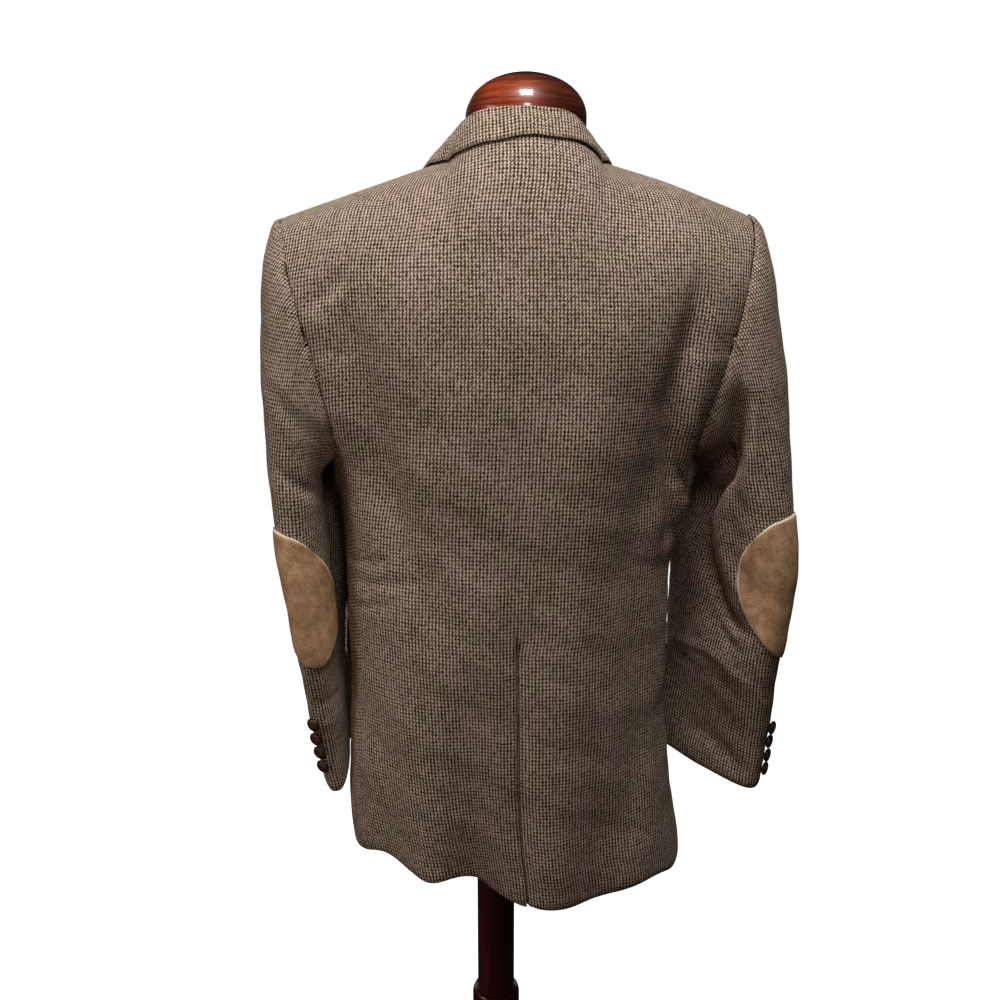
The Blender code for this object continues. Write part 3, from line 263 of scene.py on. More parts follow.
SLEEVE_CREASES = {          # places as (angle round the sleeve, z)
    LEFT: (
        (-0.0026, 0.007, 0.007, ((70, 1.242), (110, 1.220), (165, 1.200))),
        (-0.0016, 0.006, 0.006, ((60, 0.999), (83, 0.984), (160, 0.984))),
        (-0.0022, 0.008, 0.008, ((60, 1.322), (103, 1.282), (150, 1.262))),
        (0.0016, 0.006, 0.006, ((60, 0.968), (77, 0.958), (150, 0.962))),
        (0.0150, 0.028, 0.026, ((228, 1.190), (228, 0.830))),
        (-0.0110, 0.010, 0.012, ((150, 1.255), (172, 1.215), (181, 1.170), (184, 1.100),
                                 (183, 1.000))),
    ),
    RIGHT: (
        (-0.0320, 0.011, 0.011, ((108, 1.300), (117, 1.266), (132, 1.240), (158, 1.220),
                                 (170, 1.204), (181, 1.184), (189, 1.165), (195, 1.145))),
        (0.0050, 0.010, 0.010, ((96, 1.310), (103, 1.272), (114, 1.231), (122, 1.200))),
        (-0.0100, 0.007, 0.008, ((168, 1.212), (172, 1.199), (178, 1.181), (181, 1.163),
                                 (182, 1.146), (182, 1.124), (178, 1.102), (172, 1.083),
                                 (163, 1.067), (145, 1.055))),
        (0.0060, 0.012, 0.012, ((151, 1.200), (162, 1.172), (165, 1.145), (160, 1.114),
                                (152, 1.092), (140, 1.075))),
        (0.0018, 0.005, 0.005, ((228, 1.014), (193, 1.018), (176, 1.020), (164, 1.013),
                                (151, 1.003), (120, 0.990))),
        (-0.0045, 0.009, 0.009, ((186, 1.085), (175, 1.061), (161, 1.040), (144, 1.029))),
        (-0.0010, 0.007, 0.007, ((225, 0.998), (191, 0.996), (165, 0.988), (124, 0.972))),
        (0.0050, 0.026, 0.026, ((236, 1.160), (236, 1.090))),
        (0.0085, 0.026, 0.026, ((236, 0.985), (236, 0.880))),
        (-0.0040, 0.010, 0.012, ((192, 0.925), (172, 0.909), (152, 0.895), (130, 0.885))),
    ),
}
SLEEVE_DEGREE = 0.0013      # cloth to each degree round a sleeve
CREASE_PART = (0.04, 0.96)  # of a half wave, along which a crease rises and fades
RIPPLES = (                 # out, and the wave's turns per metre in x, y and z with its start
    (0.00055, (9.0, 3.0, 5.0), 0.3),
    (0.00045, (-4.0, 6.0, 11.0), 1.9),
    (0.00030, (21.0, 9.0, -7.0), 4.1),
    (0.00022, (-13.0, 17.0, 26.0), 2.6),
)


# ---------------------------------------------------------------- numbers
def column(table, names, name):
    return np.array([row[names.index(name)] for row in table])


def smooth(table, names, name, at):
    """A named column read at any value of the table's first column, along a smooth curve."""
    xs = column(table, names, names[0])
    ys = column(table, names, name)
    at = np.clip(np.asarray(at, dtype=float), xs[0], xs[-1])
    slopes = np.gradient(ys, xs)
    k = np.clip(np.searchsorted(xs, at, side="right") - 1, 0, len(xs) - 2)
    step = xs[k + 1] - xs[k]
    t = (at - xs[k]) / step
    ease = t * t * (3.0 - 2.0 * t)
    lead = t * (1.0 - t) ** 2 * step * slopes[k]
    trail = t * t * (t - 1.0) * step * slopes[k + 1]
    return ys[k] + (ys[k + 1] - ys[k]) * ease + lead + trail


def ring(name, height):
    return smooth(RINGS, RING_COLUMNS, name, height)


def from_middle(points):
    """x from the middle of the jacket, which sways a little from height to height."""
    return points[..., 0] - ring("shift", points[..., 2])


def on_side(side, points):
    """Points of the left half, mirrored about the jacket's middle where the side is right."""
    points[..., 0] = side * from_middle(points) + ring("shift", points[..., 2])
    return points


def ramp(low, high, at):
    t = np.clip((at - low) / (high - low), 0.0, 1.0)
    return t * t * (3.0 - 2.0 * t)


def mix(a, b, t):
    return a + (b - a) * t


def power_of(wave, power):
    return np.sign(wave) * np.abs(wave) ** (2.0 / power)


def points_of(x, y, z):
    return np.stack(np.broadcast_arrays(x, y, z), axis=-1)


# ---------------------------------------------------------------- the jacket's surface
def top_height(x):
    """Height of the neck and shoulder seam above a point x from the middle."""
    to_right = -x
    x = np.abs(x)
    neck = mix(NAPE_Z, NECK_Z, np.clip(x / NECK_X, 0.0, 1.0) ** 2)
    slope = (TIP_Z - NECK_Z) / (TIP_X - NECK_X)
    lift = HIGH_SHOULDER * ramp(NECK_X, 0.5 * (NECK_X + TIP_X), to_right)
    return np.where(x < NECK_X, neck, NECK_Z + slope * (x - NECK_X) + lift)


def top_depth(x):
    x = np.abs(x)
    neck = mix(SHOULDER_Y[0], NAPE_Y, np.sqrt(np.clip(1.0 - (x / NECK_X) ** 2, 0.0, 1.0)))
    along = np.clip((x - NECK_X) / (TIP_X - NECK_X), 0.0, 1.2)
    return np.where(x < NECK_X, neck, mix(*SHOULDER_Y, along))


def soft_depth(x):
    """The seam's depth without the neck's corner, as the cloth below the seam takes it."""
    x = np.abs(x)
    along = np.clip((x - NECK_X) / (TIP_X - NECK_X), 0.0, 1.2)
    near_middle = ramp(NECK_SOFT_REACH * NECK_X, 0.0, x)
    return mix(mix(*SHOULDER_Y, along), NAPE_Y, near_middle)


def rounding(x, z, roll):
    """How far the cloth has come down from the shoulder seam: 0 on it, 1 where it hangs."""
    share = np.clip(np.abs(x) / TIP_X, 0.0, 1.0)
    down = np.clip((top_height(x) - z) / mix(*roll, share), 0.0, 1.0)
    return np.sqrt(np.clip(1.0 - (1.0 - down) ** 2, 0.0, 1.0))


def section(x, z, depth, power):
    share = np.clip(np.abs(x) / ring("half_width", z), 0.0, 1.0)
    return depth * (1.0 - share ** power) ** (1.0 / power)


def fold_out(share, z):
    out = np.zeros(np.broadcast(share, z).shape)
    for low, peak, high, centre_low, centre_high, reach, depth in BACK_FOLDS:
        centre = mix(centre_low, centre_high, np.clip((z - low) / (high - low), 0.0, 1.0))
        fade = ramp(low, peak, z) * ramp(high, peak, z)
        out = out + depth * fade * np.exp(-((share - centre) / reach) ** 2)
    return out * ramp(*FOLDS_FADE, np.abs(share))


def back_y(x, z):
    hang = WIDEST_Y + section(x, z, ring("back", z) - WIDEST_Y, BACK_POWER)
    hang = hang + fold_out(x / ring("back_edge", z), z)
    start = mix(top_depth(x), soft_depth(x), ramp(0.0, NECK_SOFT, top_height(x) - z))
    return mix(start, hang, rounding(x, z, BACK_ROLL))


def front_y(x, z):
    hang = WIDEST_Y - section(x, z, WIDEST_Y - ring("front", z), FRONT_POWER)
    return mix(top_depth(x) * ramp(NECK_X * 0.6, NECK_X, np.abs(x)), hang,
               rounding(x, z, FRONT_ROLL))


def cloth_height(x, y):
    """Height of the jacket's outside over a point of the plan."""
    x, y = np.broadcast_arrays(np.asarray(x, float), np.asarray(y, float))
    high = top_height(x)
    low = high - SEARCH_DEPTH
    behind = y > top_depth(x)
    for _ in range(SEARCH_HALVINGS):
        z = 0.5 * (low + high)
        covered = np.where(behind, back_y(x, z) < y, front_y(x, z) > y)
        high = np.where(covered, z, high)
        low = np.where(covered, low, z)
    return 0.5 * (low + high)


def above_cloth(x, y, out):
    step = 0.001
    middle = ring("shift", cloth_height(x - ring("shift", NECK_Z), y))
    z = cloth_height(x - middle, y)
    across = (cloth_height(x - middle + step, y) - cloth_height(x - middle - step, y)) / step / 2.0
    along = (cloth_height(x - middle, y + step) - cloth_height(x - middle, y - step)) / step / 2.0
    length = np.sqrt(across ** 2 + along ** 2 + 1.0)
    return points_of(x - out * across / length, y - out * along / length, z + out / length)


def hem_height(angle):
    return smooth(HEM, HEM_COLUMNS, "height", angle)


def edge_angle(name, z, power):
    return np.arcsin(np.clip(ring(name, z) / ring("half_width", z), 0.0, 1.0) ** (power / 2.0))


def ring_point(angle, z, out=0.0):
    """A point of the hanging ring at an angle (radians) from centre back, moved out."""
    wide = ring("half_width", z)
    behind = np.cos(angle) > 0.0
    power = np.where(behind, BACK_POWER, FRONT_POWER)
    depth = np.where(behind, ring("back", z) - WIDEST_Y, WIDEST_Y - ring("front", z))
    across = power_of(np.sin(angle), power)
    along = power_of(np.cos(angle), power)
    length = np.hypot(across / wide, along / depth)
    return points_of(wide * across + out * across / wide / length + ring("shift", z),
                     WIDEST_Y + depth * along + out * along / depth / length, z)


def panel_height(low, high, up):
    return np.where(up < 1.0, mix(low, UNDERARM, up), mix(UNDERARM, high, up - 1.0))


def seam_height(seam_x):
    """Height of the shoulder seam where it crosses a line whose x depends on the height."""
    height = top_height(seam_x(TIP_Z))
    for _ in range(6):
        height = top_height(seam_x(height))
    return height


def back_grid(side, across, up):
    """across: 0 at centre back to 1 at the side edge; up: 0 hem, 1 underarm, 2 shoulder seam."""
    share = np.sin(across * math.radians(BACK_ANGLE)) / math.sin(math.radians(BACK_ANGLE))
    low = hem_height(side * np.degrees(across * math.radians(BACK_ANGLE)))
    top = seam_height(lambda z: side * share * ring("back_edge", z))
    z = panel_height(low, top, up)
    x = share * ring("back_edge", z)
    return points_of(side * x + ring("shift", z), back_y(side * x, z), z)


def under_lap(x, z):
    return UNDER_LAP * ramp(LAP_REACH, 0.5 * LAP_REACH, x) * ramp(*LAP_ENDS, z)


def front_grid(side, across, up):
    share = across ** 0.9
    low = mix(hem_height(side * 180.0), hem_height(side * SIDE_ANGLE), ramp(0.0, 1.0, share))
    top = seam_height(lambda z: side * mix(NECK_X, ring("front_edge", z), share))
    z = panel_height(low, top, up)
    edge = -smooth(FRONT_EDGE, FRONT_EDGE_COLUMNS, "reach", z)
    edge = mix(edge, NECK_X, ramp(1.3, 2.0, up) * ramp(0.0, 0.12, share))
    x = mix(edge, ring("front_edge", z), share)
    y = front_y(side * x, z)
    if side == RIGHT:
        y = y + under_lap(x, z)
    return points_of(side * x + ring("shift", z), y, z)


def side_grid(side, across, up):
    low = mix(hem_height(side * BACK_ANGLE), hem_height(side * SIDE_ANGLE), across)
    z = mix(low, UNDERARM - UNDERARM_DIP * np.sin(math.pi * across), up)
    start = edge_angle("back_edge", z, BACK_POWER)
    end = math.pi - edge_angle("front_edge", z, FRONT_POWER)
    return on_side(side, ring_point(mix(start, end, across), z))


def front_surface(side, x, z, out):
    """A point in front of a front panel, x from the middle towards that side."""
    step = 0.002
    across = (front_y(side * (x + step), z) - front_y(side * (x - step), z)) / (2.0 * step)
    up = (front_y(side * x, z + step) - front_y(side * x, z - step)) / (2.0 * step)
    length = np.sqrt(across ** 2 + up ** 2 + 1.0)
    y = front_y(side * x, z) - out / length
    if side == RIGHT:
        y = y + under_lap(x, z)
    return points_of(side * (x + out * across / length) + ring("shift", z), y,
                     z + out * up / length)


def collar_grid(along, profile):
    """along: -4..4 round the neck, left positive; profile: 0 neck seam, 1 fold, 2 outer edge."""
    read = {}
    for name in COLLAR_COLUMNS[1:]:
        read[name] = smooth(COLLAR, COLLAR_COLUMNS, name, np.abs(along))
        if name.endswith("_x"):
            read[name] = read[name] * np.sign(along) + COLLAR_X
    seam = points_of(read["seam_x"], read["seam_y"], read["seam_z"])
    fold = points_of(read["fold_x"], read["fold_y"], read["fold_z"])
    place, reach, depth = COLLAR_LEFT_IN
    nip = depth * np.exp(-((along - place) / reach) ** 2)
    edge = above_cloth(read["edge_x"], read["edge_y"] - nip, WALL + COLLAR_LAID_ON)
    flat = (edge - fold) * np.array([1.0, 1.0, 0.0])
    flat = flat / np.maximum(np.linalg.norm(flat, axis=-1, keepdims=True), 1e-6)
    up = np.array([0.0, 0.0, 1.0])
    turn = math.pi * np.clip((profile - FOLD_FROM) / (FOLD_TO - FOLD_FROM), 0.0, 1.0)[..., None]
    over_fold = fold - flat * FOLD_RADIUS * np.cos(turn) + up * FOLD_RADIUS * np.sin(turn)
    t = np.clip(profile / FOLD_FROM, 0.0, 1.0)[..., None]
    stand = mix(seam, fold - flat * FOLD_RADIUS, t)
    t = np.clip((profile - FOLD_TO) / (2.0 - FOLD_TO), 0.0, 1.0)[..., None]
    fall = mix(fold + flat * FOLD_RADIUS, edge, t) + up * FALL_CROWN * np.sin(math.pi * t)
    profile = profile[..., None]
    return np.where(profile < FOLD_FROM, stand, np.where(profile > FOLD_TO, fall, over_fold))


# ---------------------------------------------------------------- sleeves
def armhole(side, around):
    """The armhole seam: 0 at the shoulder tip, down the back, under the arm and up the front."""
    start, end = ARMHOLE_SHARES
    around = np.asarray(around, dtype=float)
    fall = np.clip(np.where(around < 0.5, around / start, (1.0 - around) / (1.0 - end)), 0.0, 1.0)
    tip = top_height(side * TIP_X)
    z = tip - (tip - UNDERARM) * (1.0 - np.cos(fall * math.pi / 2.0)) ** 0.9
    back_x = ring("back_edge", z)
    front_x = ring("front_edge", z)
    back = points_of(back_x, back_y(side * back_x, z), z)
    front = points_of(front_x, front_y(side * front_x, z), z)
    under = side_grid(LEFT, np.clip((around - start) / (end - start), 0.0, 1.0),
                      np.ones_like(around))
    under[..., 0] = from_middle(under)
    points = np.where((around <= start)[..., None], back,
                      np.where((around >= end)[..., None], front, under))
    points[..., 0] = side * points[..., 0] + ring("shift", points[..., 2])
    return points


def tube_point(side, angle, height):
    """A point of the hanging sleeve. angle in degrees: 0 away from the body, 90 the elbow."""
    table = SLEEVES[side]
    read = {name: smooth(table, SLEEVE_COLUMNS, name, height) for name in SLEEVE_COLUMNS[1:]}
    turn = np.radians(read["turn"])
    round_ = np.radians(angle)
    short = read["half_short"] * power_of(np.cos(round_), SLEEVE_POWER)
    long = read["half_long"] * power_of(np.sin(round_), SLEEVE_POWER)
    out = read["out"] + short * np.cos(turn) + long * np.sin(turn)
    y = read["back"] - short * np.sin(turn) + long * np.cos(turn)
    cuff = table[0][0]
    tilt = CUFF_TILT * np.sin(round_) * ramp(cuff + 0.2, cuff, height)
    return points_of(side * out, y, height - tilt)


def sleeve_point(side, angle, along):
    """along: 0 at the armhole, 1 at the top of the hanging tube, 2 at the cuff."""
    angle, along = np.broadcast_arrays(np.asarray(angle, float), np.asarray(along, float))
    table = SLEEVES[side]
    top, cuff = table[-1][0], table[0][0]
    hanging = tube_point(side, angle, mix(top, cuff, np.clip(along - 1.0, 0.0, 1.0)))
    start = armhole(side, (angle % 360.0) / 360.0)
    end = tube_point(side, angle, np.full(angle.shape, top))
    below = tube_point(side, angle, np.full(angle.shape, top - 0.02))
    fall = (end - below) / np.linalg.norm(end - below, axis=-1, keepdims=True)
    drop = (start - end)[..., 2:3]
    up_share = (0.5 + 0.5 * np.cos(np.radians(angle)))[..., None]
    out = np.zeros(start.shape)
    out[..., 0] = side * mix(CAP_THIN, CAP_FULL, up_share[..., 0] ** 1.5)
    out[..., 1] = CAP_BACK * np.sin(np.radians(angle))
    out[..., 2] = -CAP_DOWN - 0.5 * drop[..., 0] * (1.0 - up_share[..., 0])
    pull = fall * (CAP_HANG[0] * drop + CAP_HANG[1])
    t = np.clip(along, 0.0, 1.0)[..., None]
    head = ((2 * t ** 3 - 3 * t ** 2 + 1) * start + (t ** 3 - 2 * t ** 2 + t) * out
            + (3 * t ** 2 - 2 * t ** 3) * end - (t ** 3 - t ** 2) * pull)
    return np.where((along >= 1.0)[..., None], hanging, head)


def sleeve_normal(side, angle, along):
    step = 1e-3
    du = sleeve_point(side, angle + step, along) - sleeve_point(side, angle - step, along)
    dv = (sleeve_point(side, angle, along + step * 0.05)
          - sleeve_point(side, angle, along - step * 0.05))
    cross = np.cross(du, dv) * -side
    return cross / np.linalg.norm(cross, axis=-1, keepdims=True)


def height_to_along(side, height):
    table = SLEEVES[side]
    return 1.0 + (table[-1][0] - height) / (table[-1][0] - table[0][0])


# ---------------------------------------------------------------- grids of points
def rows_of(start, end, length, power=1.0):
    """Even steps of about the cloth's spacing, closer together next to both ends."""
    count = max(4, int(round(length / SPACING)))
    even = np.linspace(0.0, 1.0, count + 1)
    close = np.array(EDGE_ROWS) / count
    even = np.sort(np.concatenate([even, close, 1.0 - close]))
    return start + (end - start) * (1.0 - (1.0 - even) ** power)


def cross_lengths(points, axis):
    """Distance along the cloth from the first row (0) or the first column (1)."""
    steps = np.linalg.norm(np.diff(points, axis=axis), axis=-1)
    start = np.zeros_like(np.take(steps, [0], axis=axis))
    return np.concatenate([start, np.cumsum(steps, axis=axis)], axis=axis)


def facing(points, outward):
    """Unit normals of a grid, on the side that outward names at its middle."""
    normal = np.cross(np.gradient(points, axis=1), np.gradient(points, axis=0))
    normal /= np.maximum(np.linalg.norm(normal, axis=-1, keepdims=True), 1e-12)
    middle = normal[normal.shape[0] // 2, normal.shape[1] // 2]
    return normal if middle @ np.array(outward) > 0.0 else -normal


def stand_back(points, sides):
    """Moves edge rows of a grid in along the cloth. sides: 'low', 'high', 'first', 'last'."""
    points = points.copy()
    places = {"low": (0, 1), "high": (-1, -2)}
    for name, amount in sides.items():
        if name in places:
            edge, inner = (points[k] for k in places[name])
        else:
            edge, inner = (points[:, k] for k in ((0, 3) if name == "first" else (-1, -4)))
        inward = inner - edge
        length = np.maximum(np.linalg.norm(inward, axis=-1, keepdims=True), 1e-9)
        edge += inward / length * np.broadcast_to(np.reshape(amount, (-1, 1)), length.shape)
    return points


def crease_out(x, z, creases, unit=1.0):
    """How far the creases near each place push it out: deep in their middle, fading at ends."""
    x = x * unit
    total = np.zeros(x.shape)
    for depth, left, right, line in creases:
        line = np.array(line) * (unit, 1.0)
        steps = np.linalg.norm(np.diff(line, axis=0), axis=1)
        reached = np.concatenate([[0.0], np.cumsum(steps)])
        nearest = np.full(x.shape, 9.0)
        offset = np.zeros(x.shape)
        along = np.zeros(x.shape)
        for k in range(len(line) - 1):
            dx, dz = (line[k + 1] - line[k]) / steps[k]
            t = np.clip((x - line[k][0]) * dx + (z - line[k][1]) * dz, 0.0, steps[k])
            away_x, away_z = x - line[k][0] - t * dx, z - line[k][1] - t * dz
            away = np.hypot(away_x, away_z)
            closer = away < nearest
            nearest = np.where(closer, away, nearest)
            offset = np.where(closer, away_x * dz - away_z * dx, offset)
            along = np.where(closer, (reached[k] + t) / reached[-1], along)
        reach = np.where(offset > 0.0, right, left)
        fade = np.sqrt(np.clip(np.sin(math.pi * mix(*CREASE_PART, along)), 0.0, 1.0))
        total += depth * fade * np.exp(-(nearest / reach) ** 2)
    return total


def ripple_out(points):
    total = np.zeros(points.shape[:-1])
    for out, turns, start in RIPPLES:
        total += out * np.sin(2.0 * math.pi * (points @ np.array(turns)) + start)
    return total


def body_creases(points, normal):
    behind = np.clip(normal[..., 1] * 2.0, 0.0, 1.0) * ramp(-0.01, 0.02, points[..., 1])
    return crease_out(points[..., 0], points[..., 2], BODY_CREASES) * behind


def dressed(points, outward, creases=None, rolls=None, still=1.0):
    """The grid with its creases, its slight ripple and the roll of its sewn or turned edges."""
    normal = facing(points, outward)
    out = ripple_out(points)
    if creases is not None:
        out = out + creases(points, normal)
    out = out * still
    up, over = cross_lengths(points, 0), cross_lengths(points, 1)
    from_edge = {"low": up, "high": up[-1:] - up, "first": over, "last": over[:, -1:] - over}
    for name, (depth, reach) in (rolls or {}).items():
        out = out - depth * np.exp(-(from_edge[name] / reach) ** 2)
    return points + normal * out[..., None]


# ---------------------------------------------------------------- finishes
def linear(text):
    """An sRGB hex colour as linear values."""
    parts = [int(text[k:k + 2], 16) / 255.0 for k in (0, 2, 4)]
    return (*[c / 12.92 if c <= 0.04045 else ((c + 0.055) / 1.055) ** 2.4 for c in parts], 1.0)


def out_of(value):
    """A node stands for its first output; sockets and plain values stay as they are."""
    return value.outputs[0] if isinstance(value, bpy.types.Node) else value


def node(tree, kind, inputs=None, stops=None, **settings):
    """Adds a node: its settings, its inputs' values or links, and a colour ramp's stops."""
    made = tree.nodes.new(kind)
    for name, value in settings.items():
        setattr(made, name, value)
    for key, value in (inputs or {}).items():
        value = out_of(value)
        if isinstance(value, bpy.types.NodeSocket):
            tree.links.new(value, made.inputs[key])
        else:
            made.inputs[key].default_value = value
    for k, (place, colour) in enumerate(stops or ()):
        steps = made.color_ramp.elements
        step = steps[k] if k < len(steps) else steps.new(place)
        step.position = place
        step.color = linear(colour)
    return made


def new_finish(name, **sockets):
    material = bpy.data.materials.new(name)
    material.use_nodes = True
    shader = material.node_tree.nodes["Principled BSDF"]
    for key, value in sockets.items():
        shader.inputs[key.replace("_", " ")].default_value = value
    return material, material.node_tree


def feed(tree, **sockets):
    """Links nodes to the finish's shader, by the names of its sockets."""
    shader = tree.nodes["Principled BSDF"]
    for name, source in sockets.items():
        tree.links.new(out_of(source), shader.inputs[name.replace("_", " ")])


def toned(tree, tone, *parts):
    """A tone to which other nodes are added, each times its share."""
    for source, share in parts:
        tone = node(tree, "ShaderNodeMath", {0: source, 1: share, 2: tone},
                    operation="MULTIPLY_ADD")
    return tone


def surfaced(material, colour, height, strength, depth):
    """Gives a finish its colour and its relief, depth in metres."""
    tree = material.node_tree
    bump = node(tree, "ShaderNodeBump", {"Strength": strength, "Distance": depth,
                                         "Height": height})
    feed(tree, Base_Color=colour, Normal=bump)
    return material


WARP_PITCH, WEFT_PITCH = 0.00342, 0.0038    # one repeat of the small check
CHECK_WAVES = (0.28, 0.13, 0.12)            # along the warp, along the weft and along the twill
YARN_WANDER = 0.00045                       # how far hand-spun yarn runs to either side
TWEED_GROUND = 0.67                         # taken off the tone's sum, so that it fits 0 to 1
EDGE_HIGHLIGHT = (0.0019, 0.0033)                # painted highlight: the suede's cut edge is painted pale as far in as this


def tweed_finish():
    """Woollen tweed: dark brown warp lines crossed with dark dots on a flecked tan ground."""
    material, tree = new_finish(
        "woollen_tweed", Roughness=0.92, Sheen_Weight=0.12, Sheen_Roughness=0.5,
        Sheen_Tint=linear("c8b79c"), Specular_IOR_Level=0.15)
    grain = node(tree, "ShaderNodeUVMap", uv_map="grain")
    place = node(tree, "ShaderNodeTexCoord").outputs["Object"]
    wander = node(tree, "ShaderNodeTexNoise", {"Vector": place, "Scale": 55.0, "Detail": 3.0})
    uneven = node(tree, "ShaderNodeVectorMath", {
        0: wander.outputs["Color"], 1: (2.0 * YARN_WANDER,) * 3, 2: (-YARN_WANDER,) * 3},
        operation="MULTIPLY_ADD")
    run = node(tree, "ShaderNodeVectorMath", {0: grain, 1: uneven}, operation="ADD")
    cell = node(tree, "ShaderNodeVectorMath", {0: run, 1: (1 / WARP_PITCH, 1 / WEFT_PITCH, 0.0)},
                operation="MULTIPLY")
    ways = node(tree, "ShaderNodeSeparateXYZ", {0: cell}).outputs
    twill = node(tree, "ShaderNodeMath", {0: ways[0], 1: ways[1]}, operation="ADD")
    wave = node(tree, "ShaderNodeCombineXYZ", {0: ways[0], 1: ways[1], 2: twill})
    wave = node(tree, "ShaderNodeVectorMath", {0: wave, 1: (2 * math.pi,) * 3},
                operation="MULTIPLY")
    wave = node(tree, "ShaderNodeVectorMath", {0: wave}, operation="COSINE")
    check = node(tree, "ShaderNodeVectorMath", {0: wave, 1: CHECK_WAVES},
                 operation="DOT_PRODUCT").outputs["Value"]
    yarn = node(tree, "ShaderNodeTexNoise", {"Vector": grain, "Scale": 620.0, "Detail": 3.0,
                "Roughness": 0.7})
    fleck = node(tree, "ShaderNodeTexWhiteNoise", {"Vector": node(
        tree, "ShaderNodeVectorMath", {0: cell}, operation="FLOOR")},
        noise_dimensions="2D")
    cloud = node(tree, "ShaderNodeTexNoise", {"Vector": place, "Scale": 26.0, "Detail": 4.0})
    tone = toned(tree, check, (yarn, 2.0), (fleck, 0.18), (cloud, 0.18))
    tone = node(tree, "ShaderNodeMath", {0: tone, 1: TWEED_GROUND}, operation="SUBTRACT",
                use_clamp=True)
    colour = node(tree, "ShaderNodeValToRGB", {0: tone}, stops=(
        (0.0, "150c08"), (0.25, "4e3b2e"), (0.50, "8b796a"), (0.75, "c4b8ac"),
        (1.0, "ece2da")))
    tint = node(tree, "ShaderNodeValToRGB", {0: cloud}, stops=(
        (0.40, "fffbf0"), (0.60, "fff4f4")))
    colour = node(tree, "ShaderNodeMixRGB", {0: 1.0, 1: colour, 2: tint},
                  blend_type="MULTIPLY")
    return surfaced(material, colour, tone, 0.20, 0.0006)


def lining_finish():
    """Bronze-brown satin lining: smooth, softly shining, with a fine twill."""
    material, tree = new_finish(
        "satin_lining", Roughness=0.42, Sheen_Weight=0.2, Sheen_Tint=linear("8a6a58"))
    grain = node(tree, "ShaderNodeUVMap", uv_map="grain")
    twill = node(tree, "ShaderNodeTexWave", {"Vector": grain, "Scale": 260.0, "Distortion": 0.4},
                 bands_direction="DIAGONAL").outputs["Fac"]
    colour = node(tree, "ShaderNodeValToRGB", {0: twill}, stops=(
        (0.0, "2a1512"), (1.0, "3b201b")))
    return surfaced(material, colour, twill, 0.15, 0.0002)


def suede_finish():
    """Tan split suede: brushed matt nap with soft clouds, and a painted highlight along the cut
    edge.
    """
    material, tree = new_finish(
        "tan_suede", Roughness=0.95, Sheen_Weight=0.35, Sheen_Roughness=0.6,
        Sheen_Tint=linear("e0b98c"), Specular_IOR_Level=0.1)
    grain = node(tree, "ShaderNodeUVMap", uv_map="grain")
    cloud = node(tree, "ShaderNodeTexNoise", {"Vector": grain, "Scale": 75.0, "Detail": 6.0,
                                              "Roughness": 0.62})
    long = node(tree, "ShaderNodeMapping", {"Vector": grain, "Scale": (150.0, 26.0, 1.0)})
    brush = node(tree, "ShaderNodeTexNoise", {"Vector": long, "Scale": 1.0,
                                              "Detail": 3.0})
    nap = node(tree, "ShaderNodeTexNoise", {"Vector": grain, "Scale": 620.0,
                                            "Detail": 3.0})
    tone = toned(tree, cloud, (brush, 0.22), (nap, 0.90))
    tone = node(tree, "ShaderNodeMath", {0: tone, 1: 0.6}, operation="MULTIPLY")
    colour = node(tree, "ShaderNodeValToRGB", {0: tone}, stops=(
        (0.44, "8c603a"), (0.64, "dcae84"), (0.84, "f6d6b2")))
    # A pale band painted along the cut edge stands for the light that the edge catches: a painted
    # highlight.
    rim = node(tree, "ShaderNodeAttribute", attribute_name="from_edge").outputs["Fac"]
    pale = node(tree, "ShaderNodeMapRange", {
        "Value": rim, "From Min": EDGE_HIGHLIGHT[0], "From Max": EDGE_HIGHLIGHT[1], "To Min": 1.0,
        "To Max": 0.0})
    colour = node(tree, "ShaderNodeMixRGB", {0: pale, 1: colour, 2: linear("fff0d4")})
    return surfaced(material, colour, tone, 0.35, 0.0004)


def leather_finish():
    """Waxed brown leather strips: dark, half gloss, worn paler where they stand up."""
    material, tree = new_finish(
        "woven_button_leather", Roughness=0.42, Coat_Weight=0.25, Coat_Roughness=0.3)
    place = node(tree, "ShaderNodeTexCoord").outputs["Object"]
    pores = node(tree, "ShaderNodeTexNoise", {"Vector": place, "Scale": 1800.0,
                                              "Detail": 3.0})
    worn = node(tree, "ShaderNodeAttribute", attribute_name="raised").outputs["Fac"]
    colour = node(tree, "ShaderNodeValToRGB", {0: toned(tree, worn, (pores, 0.4))}, stops=(
        (0.15, "150b07"), (0.70, "3a2117"), (1.0, "5d3a28")))
    return surfaced(material, colour, pores, 0.25, 0.0002)


def thread_finish(name, dark, light):
    """Buttonhole twist: a hard two-ply thread with a slight shine."""
    material, tree = new_finish(name, Roughness=0.55, Sheen_Weight=0.2)
    place = node(tree, "ShaderNodeTexCoord").outputs["Object"]
    ply = node(tree, "ShaderNodeTexWave", {"Vector": place, "Scale": 900.0},
               bands_direction="DIAGONAL").outputs["Fac"]
    feed(tree, Base_Color=node(tree, "ShaderNodeValToRGB", {0: ply}, stops=(
        (0.0, dark), (1.0, light))))
    return material


